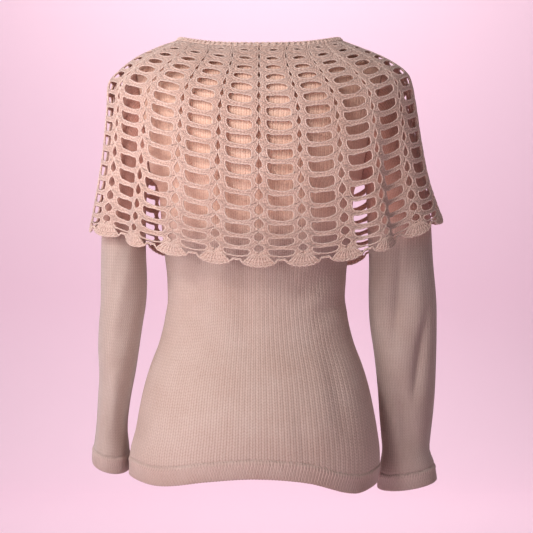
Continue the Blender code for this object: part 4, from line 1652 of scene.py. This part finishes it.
@dataclass
class SleeveCloth:
    """A stockinette sleeve, a tube with its seam under the arm."""

    side: Side
    flat: tuple[float, float]
    area: float
    form: SleeveForm = SleeveForm()
    wales: int = 60
    per_wale: int = 2
    course: float = 0.00385
    cap_rows: int = 20
    arm_rows: int = 46
    relief: float = 0.00055
    sink: float = 0.0007
    sink_beside: float = 0.3
    thickness: float = 0.0020
    band_top: float = 0.0195

    def rows(self) -> Array:
        """Find the sleeve's points.

        Returns:
            Rings of points from the cuff up to the armhole.
        """
        count = self.wales * self.per_wale
        turns = [i / count for i in range(count)]
        if self.side is Side.LEFT:
            turns = [turns[0], *turns[:0:-1]]
        tops = [self.form.edge(self.side, turn, self.band_top) for turn in turns]
        rows = [[self.form.at(self.side, turn, blend(top, self.form.bicep, r / self.arm_rows))
                 for turn, top in zip(turns, tops)] for r in range(self.arm_rows)]
        rows += [[self.form.cap(self.side, turn, 1 - r / self.cap_rows) for turn in turns]
                 for r in range(self.cap_rows + 1)]
        return np.array(rows)

    def build(self, shop: Workshop) -> None:
        """Args:
            shop: the trees and materials.
        """
        points = self.rows()
        way = travelled(points[:, points.shape[1] // 4])
        raised = np.ones(points.shape[:2])
        raised[-1] = 0.0
        grid = ClothGrid(f"{self.side.value}_sleeve_stockinette", points,
                         np.arange(points.shape[1]) / self.per_wale, way / self.course, raised, closed=True)
        normals = grid.normals()
        sunk = np.zeros(points.shape[:2])
        sunk[-1] = self.sink
        sunk[-2] = self.sink * self.sink_beside
        grid.points = points - normals * sunk[..., None]
        obj = grid.build(shop, SLEEVE_WOOL, self.relief)
        thickened(obj, self.thickness)
        declare(obj, f"sleeve_{self.side.value}")


@dataclass
class TurnedBand:
    """A hem or cuff, knitted double and turned, with a ridge along its top."""

    name: str
    node: str
    flat: tuple[float, float]
    height: float
    wales: int
    per_wale: int
    closed: bool
    drawn_height: float = 0.022
    ridge_from: float = 0.018
    ridge_drift: float = 0.0004
    seed: int = 11
    look_up: float = 0.003
    relief: float = 0.00036
    course: float = 0.0050
    jag: float = 0.0011
    slant: float = -0.25
    finish: WoolFinish = BAND_WOOL

    def place(self, share: float, rise: float) -> Vector:
        """A point of the cloth at a share along the band and a rise above its edge."""
        raise NotImplementedError

    def build(self, shop: Workshop) -> None:
        """Args:
            shop: the trees and materials.
        """
        count = self.wales * self.per_wale
        shares = [i / count for i in range(count if self.closed else count + 1)]
        scale = self.height / self.drawn_height
        ridge = drift(self.seed, len(shares), self.wales // 2, self.ridge_drift)
        ridge = ridge + self.jag * np.sin(2 * math.pi * np.arange(len(shares)) / self.per_wale)
        rows = []
        for point in BAND_SECTION:
            rise = point.rise / 1000 * scale
            base = np.array([self.place(share, rise) for share in shares])
            ups = unit(np.array([self.place(share, rise + self.look_up) for share in shares]) - base)
            normals = unit(np.cross(steps_between(base, 0, self.closed), ups))
            lift = ridge if rise > self.ridge_from * scale else np.zeros(len(shares))
            rows.append(base + normals * point.out / 1000 + ups * lift[:, None])
        raised = np.repeat([[point.raised] for point in BAND_SECTION], len(shares), axis=1)
        courses = np.array([point.rise for point in BAND_SECTION]) / 1000 / self.course
        grid = ClothGrid(self.name, np.array(rows), np.arange(len(shares)) / self.per_wale, courses, raised,
                         self.slant, closed=self.closed, profile_closed=True)
        obj = grid.build(shop, self.finish, self.relief)
        declare(obj, self.node)


@dataclass
class HemBand(TurnedBand):
    """The band along a body panel's lower edge."""

    face: Face = Face.BACK
    form: BodyForm = BodyForm()
    even_at: float = -0.57
    columns: list[float] = field(init=False)

    def __post_init__(self) -> None:
        """Space the columns evenly at the hem, from left to right as seen from outside."""
        columns = self.form.even_columns(self.face, self.wales * self.per_wale, self.even_at)
        self.columns = columns if self.face is Face.BACK else columns[::-1]

    def place(self, share: float, rise: float) -> Vector:
        """A point of the panel at a share across it and a rise above the hem."""
        column = self.columns[round(share * self.wales * self.per_wale)]
        return self.form.level(column, self.form.hem(column, self.face) + rise, self.face)


@dataclass
class CuffBand(TurnedBand):
    """The band round a sleeve's lower edge."""

    side: Side = Side.LEFT
    form: SleeveForm = SleeveForm()

    def place(self, share: float, rise: float) -> Vector:
        """A point of the sleeve at a share round it and a rise above the cuff's edge."""
        turn = -share % 1.0 if self.side is Side.LEFT else share
        return self.form.at(self.side, turn, self.form.edge(self.side, turn, rise))


def crochet_cloth(mesh: Mesh, shop: Workshop) -> Object:
    """Join a mesh's parts where they meet.

    Args:
        mesh: the mesh.
        shop: the trees and materials.

    Returns:
        An object of crochet cloth.
    """
    whole = bmesh.new()
    whole.from_mesh(mesh)
    bmesh.ops.remove_doubles(whole, verts=whole.verts, dist=0.00003)
    bmesh.ops.dissolve_degenerate(whole, edges=whole.edges, dist=0.00001)
    whole.to_mesh(mesh)
    whole.free()
    mesh.materials.append(shop.materials[CAPE_CLOTH.name])
    return linked(mesh.name, mesh)


@dataclass
class CapeLace:
    """One half of the cape: a net of narrow ribs with ladders of holes between them, and its rims.

    Columns count the repeats round the cape from the centre back, and there is a rib at each whole one.
    Runs go down the cloth from the neck seam.
    """

    face: Face
    first: int
    last: int
    form: CapeForm
    flat: tuple[float, float]
    area: float
    rounds: int = 17
    middle: float = -0.0018
    level: float = 0.0011
    valley: float = 0.0006
    rim: float = 0.0006
    rim_share: float = 0.3
    rim_level: float = 0.8
    seam_level: float = 0.85
    rim_at: float = 0.00090
    rim_out: float = 0.0006
    rim_yarn: float = 0.00098
    uneven: tuple[float, ...] = (0.03, 0.012, 0.0006, 0.0005, 0.0007)
    rib_rise: float = 0.41
    rib_reach: float = 0.30
    drop_top: float = -0.30
    drop_bottom: float = 0.50
    slit_ends: tuple[float, float] = (0.0012, 0.0008)
    slit_bend: float = 0.9
    side_bend: float = 1.2
    ear_at: float = -0.85
    ear_wide: float = 0.28
    top_points: int = 12
    side_points: int = 10
    stitch_wide: float = 0.0031
    stitch_tall: float = 0.0038
    seed: int = 7
    starts: list[float] = field(init=False)

    def __post_init__(self) -> None:
        """Find the runs where the rounds start."""
        pitches = [reading(ROUNDS, number, "pitch") for number in range(self.rounds)]
        scale = self.form.length / sum(pitches)
        self.starts = [0.0]
        for pitch in pitches:
            self.starts.append(self.starts[-1] + pitch * scale)

    def solid(self, number: int) -> float:
        """Half of the cloth between one round's holes and the next."""
        return self.pitch(number) * (1 - reading(ROUNDS, number, "hole_height")) / 2

    def seam(self, number: int, aside: Array) -> Array:
        """Find the line between two rounds, which is higher at the ribs.

        Args:
            number: the round below it.
            aside: shares of a repeat beside a rib.

        Returns:
            The line's run at each.
        """
        if number in (0, self.rounds):
            return np.full(aside.shape, self.starts[number])
        near = np.clip(aside / self.rib_reach, 0, 1)
        eased = near * near * (3 - 2 * near)
        return self.starts[number] - self.rib_rise * self.pitch(number) * (1 - eased)

    def pitch(self, number: int) -> float:
        """How tall a round is."""
        number = min(number, self.rounds - 1)
        return self.starts[number + 1] - self.starts[number]

    def rib_line(self, number: int) -> tuple[Array, Array]:
        """The middle of a rib in one round.

        Args:
            number: the round.

        Returns:
            Runs down the rib's middle line and half the hole's width at each, 0 outside the hole.
        """
        here = np.zeros(1)
        top, bottom = float(self.seam(number, here)[0]), float(self.seam(number + 1, here)[0])
        tall = self.pitch(number)
        high = max(self.starts[number] + self.drop_top * tall, top + self.slit_ends[0])
        low = min(self.starts[number] + self.drop_bottom * tall, bottom - self.slit_ends[1])
        share = np.linspace(0, 1, self.side_points - 1)
        runs = np.concatenate(([top], high + (low - high) * share, [bottom]))
        half = reading(RIBS, number, "hole") / 1000
        sharp = reading(RIBS, number, "sharp")
        shape = np.clip(np.sin(math.pi * share ** sharp), 0, 1) ** min(sharp / 2, self.slit_bend)
        return runs, np.concatenate(([0.0], half * shape, [0.0]))

    def outline(self, number: int, across: Array, down: Array) -> tuple[Array, Array]:
        """The edge of the hole between two ribs in one round.

        Args:
            number: the round.
            across: -1 at the hole's left and 1 at its right, for each point of its edge.
            down: -1 at its top and 1 at its bottom.

        Returns:
            How far each point lies beside the left rib, as a share of a repeat, and its run.
        """
        round_by = reading(HOLES, number, "roundness")
        squared = across * np.sqrt(1 - round_by * down * down / 2)
        lowered = down * np.sqrt(1 - round_by * across * across / 2)
        squared, lowered = squared / np.abs(squared).max(), lowered / np.abs(lowered).max()
        share = (lowered + 1) / 2
        wide = float(self.form.width(np.array([self.starts[number] + self.pitch(number) / 2]))[0])
        row = {name: reading(RIBS, number, name) / 1000 / wide for name in RibRow._fields[3:]}
        left = row["right_top"] + (row["right_bottom"] - row["right_top"]) * share ** self.side_bend
        right = 1 - row["left_top"] - (row["left_bottom"] - row["left_top"]) * share
        aside = left + (right - left) * (squared + 1) / 2
        top = self.starts[number] + self.solid(number)
        bottom = self.starts[number + 1] - self.solid(number)
        arch = 1 - squared * squared
        sag = reading(HOLES, number, "top_sag") / 1000 * (1 - share)
        sag = sag + reading(HOLES, number, "bottom_sag") / 1000 * share
        ear = reading(HOLES, number, "ear") / 1000 * (1 - share)
        ear = ear * np.exp(-((squared - self.ear_at) / self.ear_wide) ** 2)
        return aside, top + (bottom - top) * share + arch * sag - ear

    def free_edge(self, number: int, rib: int) -> Array:
        """Find where the outer edge of the cloth round a hole is free.

        Args:
            number: the hole's round.
            rib: the rib at its left.

        Returns:
            True for each point of the edge that no other hole's cloth meets.
        """
        top, side = self.top_points, self.side_points
        edge = np.zeros(2 * (top + side), dtype=bool)
        edge[top + 1:top + side] = True
        edge[-side + 1:] = True
        if number == 0:
            edge[:top + 1] = True
        if number == self.rounds - 1:
            edge[top + side:2 * top + side + 1] = True
        if rib == self.first:
            edge[np.arange(-side, 1)] = True
        if rib == self.last - 1:
            edge[top:top + side + 1] = True
        return edge

    def cells(self) -> tuple[Array, Array, Array]:
        """Lay out the cloth round every hole between two ribs.

        Returns:
            Places (inner and outer column, inner and outer run for each point round each cell), the
            distance between the inner and the outer edge, and whether the outer edge is free there.
        """
        ends = np.linspace(-1, 1, self.top_points + 1)[:-1]
        sides = np.linspace(-1, 1, self.side_points + 1)[:-1]
        across = np.concatenate((ends, np.ones(self.side_points), -ends, -np.ones(self.side_points)))
        down = np.concatenate((-np.ones(self.top_points), sides, np.ones(self.top_points), -sides))
        share = (ends + 1) / 2
        beside = np.minimum(share, 1 - share)
        arch = 1 - across * across
        rng = np.random.default_rng(self.seed + self.first)
        places, gaps, free = [], [], []
        for number in range(self.rounds):
            runs, holes = self.rib_line(number)
            outer_runs = np.concatenate((self.seam(number, beside), runs[:-1],
                                         self.seam(number + 1, beside), runs[::-1][:-1]))
            aside, inner_runs = self.outline(number, across, down)
            wides = self.form.width(outer_runs)
            outer = np.concatenate((share, 1 - holes[:-1] / wides[self.top_points:][:self.side_points],
                                    1 - share, holes[::-1][:-1] / wides[-self.side_points:]))
            for rib in range(self.first, self.last):
                wider, beyond, lower, tilt, droop = rng.uniform(-1, 1, 5) * self.uneven
                inner = 0.5 + (aside - 0.5) * (1 + wider * across) + beyond * arch
                lowered = inner_runs + lower + tilt * across + droop * arch * (1 - down) / 2
                places.append((rib + inner, rib + outer, lowered, outer_runs))
                gaps.append(np.hypot((outer - inner) * wides, outer_runs - lowered))
                free.append(self.free_edge(number, rib))
        return np.array(places), np.array(gaps), np.array(free)

    def net(self, shop: Workshop) -> Object:
        """Make the cape's cloth, one mesh with all its holes.

        Args:
            shop: the trees and materials.

        Returns:
            The cloth.
        """
        places, gaps, free = self.cells()
        inner, outer, high, low = (places[:, i] for i in range(4))
        rim = np.minimum(self.rim, self.rim_share * gaps)
        none = np.zeros_like(gaps)
        near, far = rim / gaps, 1 - rim / gaps
        shares = [none, near, none + 0.5, far, none + 1, none + 1, far, near]
        valley = np.where(free, 0.0, self.valley)
        low_level = none + self.rim_level * self.level
        seam = np.where(free, self.rim_level, self.seam_level) * self.level
        levels = [none, low_level, none + self.level, seam, valley, -valley, -low_level, -low_level]
        rings = []
        for share, out in zip(shares, levels):
            columns = inner + (outer - inner) * share
            runs = high + (low - high) * share
            rings.append(self.form.place(columns.ravel(), runs.ravel(), self.middle + out.ravel()))
        count, around = gaps.shape
        points = np.stack(rings, axis=1).reshape(count, around, len(rings), 3)
        index = np.arange(points[..., 0].size).reshape(count, around, len(rings))
        after = np.roll(index, -1, axis=1)
        steps = np.hypot(np.diff(inner, axis=1, append=inner[:, :1]) * self.form.width(high.ravel()).reshape(
            high.shape), np.diff(high, axis=1, append=high[:, :1]))
        way = np.concatenate((np.zeros((count, 1)), np.cumsum(steps, axis=1)), axis=1)
        way = way / way[:, -1:] * np.round(way[:, -1:] / self.stitch_wide)
        deep = np.stack(shares, axis=2) * gaps[..., None] / self.stitch_tall
        ahead = np.roll(deep, -1, axis=1)
        here, there = way[:, :-1], way[:, 1:]
        faces, uvs = [], []
        for k in (0, 1, 2, 3, 5, 6, 7):
            j = (k + 1) % len(rings)
            faces.append(np.stack((index[..., k], after[..., k], after[..., j], index[..., j]), -1))
            inwards = np.stack((deep[..., k], ahead[..., k], ahead[..., j], deep[..., j]), -1)
            uvs.append(np.stack((np.stack((here, there, there, here), -1), inwards), -1))
        mesh = mapped_mesh(f"cape_{self.face.value}_net", points, np.stack(faces).reshape(-1, 4).tolist(),
                           np.stack(uvs))
        return crochet_cloth(mesh, shop)

    def lay_rims(self, work: YarnWork, ribs: Sequence[int]) -> None:
        """Work the round edge of every hole.

        Args:
            work: what the strands are added to.
            ribs: the columns of the ribs.
        """
        places, gaps, _ = self.cells()
        for (inner, outer, high, low), gap in zip(places, gaps):
            share = np.minimum(self.rim_at / gap, 0.4)
            columns, runs = inner + (outer - inner) * share, high + (low - high) * share
            work.lay(np.append(columns, columns[0]), np.append(runs, runs[0]), self.middle + self.rim_out,
                     self.rim_yarn)
        lines = [self.rib_line(number) for number in range(self.rounds)]
        runs = np.concatenate([runs[:-1] for runs, _ in lines])
        holes = np.concatenate([holes[:-1] for _, holes in lines])
        wide = self.form.width(runs)
        for rib in ribs:
            for sign in (-1, 1):
                work.lay(rib + sign * (holes + self.rim_at) / wide, np.maximum(runs, 0.001),
                         self.middle + self.rim_out, self.rim_yarn)

    def build(self, shop: Workshop) -> None:
        """Args:
            shop: the trees and materials.
        """
        name = self.face.value
        own_ends = self.face is Face.BACK
        ribs = range(self.first if own_ends else self.first + 1, self.last + 1 if own_ends else self.last)
        rims = YarnWork(f"cape_{name}_rims", self.form)
        self.lay_rims(rims, ribs)
        net, strands = self.net(shop), rims.build(shop)
        for obj in (net, strands):
            declare(obj, f"cape_{name}")
        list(CapeEdging(self).build(shop, ribs))


@dataclass
class CapeEdging:
    """The scalloped edge of one half of the cape: a fan under every rib, and a chain along them."""

    cape: CapeLace
    scallop_low: float = 0.0135
    scallop_high: float = 0.0055
    scallop_half: float = 0.40
    posts: int = 9
    post: Rope = Rope(2, 0.0066, 0.0006, 0.00085)
    post_points: int = 13
    post_spread: float = 0.335
    post_foot: float = 0.0014
    post_bend: float = 0.8
    post_overlap: float = 0.0036
    post_short: float = 0.0030
    post_uneven: float = 0.0002
    edge_up: float = 0.0019
    edge_tall: float = 0.0036
    edge_step: float = 0.0011
    edge_wander: float = 0.0003
    edge_turns: int = 60
    edge_strands: int = 3
    braid_pitch: float = 0.0062
    braid_depth: float = 0.0009
    fan_half: float = 0.37
    fan_foot: float = 0.45
    fan_overlap: float = 0.0030
    fan_short: float = 0.0016
    fan_stitches: tuple[float, float] = (4.5, 3.0)
    post_seed: int = 23
    edge_seed: int = 91

    def scallop(self, columns: Array) -> Array:
        """How far the edging hangs below the cape at columns."""
        away = np.abs(columns - np.round(columns)) / self.scallop_half
        lobe = np.sqrt(np.maximum(1 - away * away, 0.0))
        return self.scallop_high + (self.scallop_low - self.scallop_high) * lobe

    def lay_posts(self, work: YarnWork, ribs: Sequence[int]) -> None:
        """Work a fan of posts under every rib.

        Args:
            work: what the posts are added to.
            ribs: the columns of the ribs.
        """
        length = self.cape.form.length
        wide = float(self.cape.form.width(np.array([length]))[0])
        rng = np.random.default_rng(self.post_seed + self.cape.first)
        half = self.posts // 2
        along = np.linspace(0, 1, self.post_points)
        for rib in ribs:
            for step in range(-half, half + 1):
                end = self.post_spread * step / half
                columns = rib + self.post_foot * step / wide * (1 - along) + end * along ** self.post_bend
                drop = float(self.scallop(np.array([end]))[0]) - self.post_short
                runs = length - self.post_overlap + (drop + self.post_overlap) * along
                out = self.cape.middle + self.cape.rim_out + self.post_uneven * rng.uniform(-1, 1)
                work.twist(columns, runs, np.full(self.post_points, out), self.post, rng.uniform())

    def lay_chain(self, work: YarnWork) -> None:
        """Work a flat braid along the scalloped edge.

        Args:
            work: what its strands are added to.
        """
        length = self.cape.form.length
        wide = float(self.cape.form.width(np.array([length]))[0])
        count = int((self.cape.last - self.cape.first) * wide / self.edge_step)
        columns = np.linspace(self.cape.first, self.cape.last, count)
        wander = drift(self.edge_seed, count, self.edge_turns, self.edge_wander)
        runs = length + self.scallop(columns) - self.edge_up + wander
        wide = float(self.cape.form.width(np.array([runs.mean()]))[0])
        for strand in range(self.edge_strands):
            share = strand / self.edge_strands
            turn = 2 * math.pi * (columns * wide / (self.edge_strands * self.braid_pitch) + share)
            radii = self.cape.rim_yarn * (1 + 0.10 * np.sin(2.3 * turn + strand))
            outs = self.cape.middle + self.braid_depth * np.sin((self.edge_strands - 1) * turn)
            work.lay(columns, runs + (self.edge_tall / 2 - self.cape.rim_yarn) * np.sin(turn), outs, radii)

    def fans(self, shop: Workshop, ribs: Sequence[int]) -> Object:
        """Make the close cloth of the fans that hang from the ribs.

        Args:
            shop: the trees and materials.
            ribs: the columns of the ribs.

        Returns:
            One object with all the fans.
        """
        across, down = np.meshgrid(np.linspace(-1, 1, 19), np.linspace(0, 1, 7))
        edge = (np.abs(across) == 1) | (down == 0) | (down == 1)
        points, faces, uvs = [], [], []
        index = np.arange(across.size).reshape(across.shape)
        quads = np.stack((index[:-1, :-1], index[1:, :-1], index[1:, 1:], index[:-1, 1:]), -1).reshape(-1, 4)
        place = np.stack((across.ravel(), down.ravel()), axis=-1) * self.fan_stitches
        for rib in ribs:
            grown = self.fan_foot + (1 - self.fan_foot) * down ** self.post_bend
            columns = rib + self.fan_half * across * grown
            lowest = self.scallop(rib + self.fan_half * across) - self.fan_short
            runs = self.cape.form.length - self.fan_overlap + (lowest + self.fan_overlap) * down
            for sign in (1, -1):
                outs = self.cape.middle + np.where(edge, 0.0, sign * self.cape.level)
                base = sum(len(part) for part in points)
                points.append(self.cape.form.place(columns.ravel(), runs.ravel(), outs.ravel()))
                faces += (base + quads[:, ::sign]).tolist()
                uvs.append(place[quads[:, ::sign]])
        name = f"edging_{self.cape.face.value}_cloth"
        mesh = mapped_mesh(name, np.concatenate(points), faces, np.stack(uvs))
        return crochet_cloth(mesh, shop)

    def build(self, shop: Workshop, ribs: Sequence[int]) -> list[Object]:
        """Args:
            shop: the trees and materials.
            ribs: the columns of the ribs.

        Returns:
            The fans' cloth and the strands over it.
        """
        name = self.cape.face.value
        work = YarnWork(f"edging_{name}_fans", self.cape.form)
        self.lay_posts(work, ribs)
        self.lay_chain(work)
        made = [self.fans(shop, ribs), work.build(shop)]
        for obj in made:
            declare(obj, f"edging_{name}")
        return made


@dataclass
class NeckEdge:
    """The single-crochet edge that binds the neck."""

    form: NeckLine
    flat: tuple[float, float] = (0.60, 0.010)
    columns: int = 22
    stitches: int = 84
    around: int = 264
    core_wales: int = 88
    core_course: float = 0.4
    section: tuple[tuple[float, float], ...] = (
        (0.3, -1.0), (0.3, 2.6), (1.2, 3.3), (4.5, 3.3), (6.3, 2.8), (7.0, 1.4), (6.3, -0.4), (4.5, -1.1),
        (1.2, -1.3))
    stitch: Rope = Rope(2, 0.0075, 0.0008, 0.0011)
    stitch_points: int = 12
    stitch_top: float = 0.0010
    stitch_tall: float = 0.0052
    stitch_outs: tuple[float, float] = (0.0032, -0.0006)
    stitch_lean: float = 0.06
    stitch_bow: float = 0.0004
    seed: int = 5

    def core(self, shop: Workshop) -> Object:
        """Make the firm ring under the stitches.

        Args:
            shop: the trees and materials.

        Returns:
            The ring.
        """
        columns = np.arange(self.around) / self.around * self.columns
        points = np.array([self.form.place(columns, -rise / 1000, out / 1000) for rise, out in self.section])
        courses = np.arange(len(points)) * self.core_course
        wales = np.arange(self.around) * self.core_wales / self.around
        grid = ClothGrid("neck_edge_core", points, wales, courses, np.zeros(points.shape[:2]), closed=True,
                         profile_closed=True)
        return grid.build(shop, CAPE_WOOL, 0.0)

    def lay_top(self, work: YarnWork) -> None:
        """Work the chain along the edge's top, and a thin strand along its foot.

        Args:
            work: what the strands are added to.
        """
        count = self.stitches * self.stitch_points
        columns = np.linspace(0, self.columns, count)
        along = 2 * math.pi * np.arange(count) / (count - 1) * self.stitches
        top, sway, out, swing, strands = 0.0068, 0.0007, 0.0013, 0.0019, 3
        for strand in range(strands):
            turn = along / 2 + 2 * math.pi * strand / strands
            work.lay(columns, -top - sway * np.sin(2 * turn), out + swing * np.sin(turn),
                     self.stitch.yarn_radius)
        foot, foot_out, curl, foot_yarn = 0.0006, 0.0037, 0.0003, 0.0010
        work.lay(columns, -foot - curl * np.sin(along), foot_out + curl * np.cos(along), foot_yarn)

    def build(self, shop: Workshop) -> None:
        """Args:
            shop: the trees and materials.
        """
        core = self.core(shop)
        work = YarnWork("neck_edge_stitches", self.form)
        rng = np.random.default_rng(self.seed)
        up = np.linspace(0, 1, 7)
        for number in range(self.stitches):
            column = number * self.columns / self.stitches
            for out in self.stitch_outs:
                lean = self.stitch_lean * (up - 0.5) * np.sign(out)
                bow = self.stitch_bow * np.sin(math.pi * up)
                work.twist(column + lean, -self.stitch_top - self.stitch_tall * up, out + bow, self.stitch,
                           rng.uniform())
        self.lay_top(work)
        stitches = work.build(shop)
        for obj in (core, stitches):
            declare(obj, "neck_edge")


@dataclass
class Studio:
    """Camera, lights, floor and backdrop."""

    camera_at: Place = (0.0135, -2.0, -0.3004)
    lens: float = 100.06
    sensor: float = 36.0
    lamps: tuple[Lamp, ...] = LAMPS
    floor_z: float = -0.98
    floor_y: float = -3.5
    back_y: float = 3.0
    top_z: float = 3.0
    half_width: float = 4.0
    bend: float = 0.6
    bend_steps: int = 12
    air: Colour = (1.0, 0.93, 0.93)
    air_strength: float = 0.24
    paper: Colour = (1.0, 0.75, 0.87)

    def light(self, lamp: Lamp) -> None:
        """Set up one light.

        Args:
            lamp: which one.
        """
        made = bpy.data.lights.new(lamp.name, "SPOT" if lamp.cone else "AREA")
        if lamp.cone:
            made.spot_size = math.radians(lamp.cone)
            made.spot_blend = 1.0
            made.shadow_soft_size = lamp.size / 2
        else:
            made.shape = "SQUARE"
            made.size = lamp.size
        made.energy = lamp.power
        made.color = lamp.colour
        obj = linked(lamp.name, made)
        obj.location = lamp.at
        obj.rotation_euler = (Vector(lamp.look) - Vector(lamp.at)).to_track_quat("-Z", "Y").to_euler()

    def build(self) -> None:
        """Set up the whole studio."""
        camera = bpy.data.cameras.new("Camera")
        camera.lens = self.lens
        camera.sensor_width = self.sensor
        eye = linked("Camera", camera)
        eye.location = self.camera_at
        eye.rotation_euler = (math.pi / 2, 0.0, 0.0)
        bpy.context.scene.camera = eye
        for lamp in self.lamps:
            self.light(lamp)
        world = bpy.data.worlds.new("Studio air")
        world.use_nodes = True
        ground = world.node_tree.nodes["Background"]
        ground.inputs["Color"].default_value = (*self.air, 1.0)
        ground.inputs["Strength"].default_value = self.air_strength
        bpy.context.scene.world = world
        bpy.context.scene.view_settings.view_transform = "Standard"
        self.backdrop()

    def backdrop(self) -> None:
        """Lay the pale floor and the sweep that rises behind."""
        start, bend = self.back_y - self.bend, self.bend
        profile = [(self.floor_y, self.floor_z), (start, self.floor_z)]
        for step in range(1, self.bend_steps + 1):
            angle = math.pi / 2 * step / self.bend_steps
            profile.append((start + bend * math.sin(angle), self.floor_z + bend * (1 - math.cos(angle))))
        profile.append((self.back_y, self.top_z))
        points = [(x, y, z) for y, z in profile for x in (-self.half_width, self.half_width)]
        faces = [(2 * i, 2 * i + 1, 2 * i + 3, 2 * i + 2) for i in range(len(profile) - 1)]
        mesh = bpy.data.meshes.new("studio_sweep")
        mesh.from_pydata(points, [], faces)
        mesh.shade_smooth()
        paper = bpy.data.materials.new("Pale Pink Paper")
        paper.use_nodes = True
        shader = paper.node_tree.nodes["Principled BSDF"]
        shader.inputs["Base Color"].default_value = (*self.paper, 1.0)
        shader.inputs["Roughness"].default_value = 0.9
        mesh.materials.append(paper)
        linked("studio_sweep", mesh)


def main() -> None:
    """Build the garment piece by piece, then the studio."""
    logging.basicConfig(level=logging.INFO, format="%(name)s: %(message)s")
    shop = Workshop.open((BODY_WOOL, SLEEVE_WOOL, BAND_WOOL, CUFF_WOOL, CAPE_WOOL, CAPE_CLOTH))
    KnitPanel(Face.BACK, flat=(0.48, 0.60), area=0.224).build(shop)
    KnitPanel(Face.FRONT, flat=(0.48, 0.60), area=0.225).build(shop)
    for side in Side:
        SleeveCloth(side, flat=(0.30, 0.56), area=0.12).build(shop)
    for face in Face:
        HemBand(f"{face.value}_hem_band", f"hem_{face.value}", flat=(0.44, 0.024), height=0.022, wales=112,
                per_wale=4, closed=False, face=face).build(shop)
    for side in Side:
        CuffBand(f"{side.value}_cuff_band", f"cuff_{side.value}", flat=(0.27, 0.022), height=0.020, wales=66,
                 per_wale=4, closed=True, finish=CUFF_WOOL, side=side).build(shop)
    neck = NeckLine()
    NeckEdge(neck).build(shop)
    cape = CapeForm(neck)
    for face, first, last in ((Face.BACK, -5, 6), (Face.FRONT, 6, 17)):
        CapeLace(face, first, last, cape, flat=(0.68, 0.313), area=0.106).build(shop)
    Studio().build()


if __name__ == "__main__":
    main()
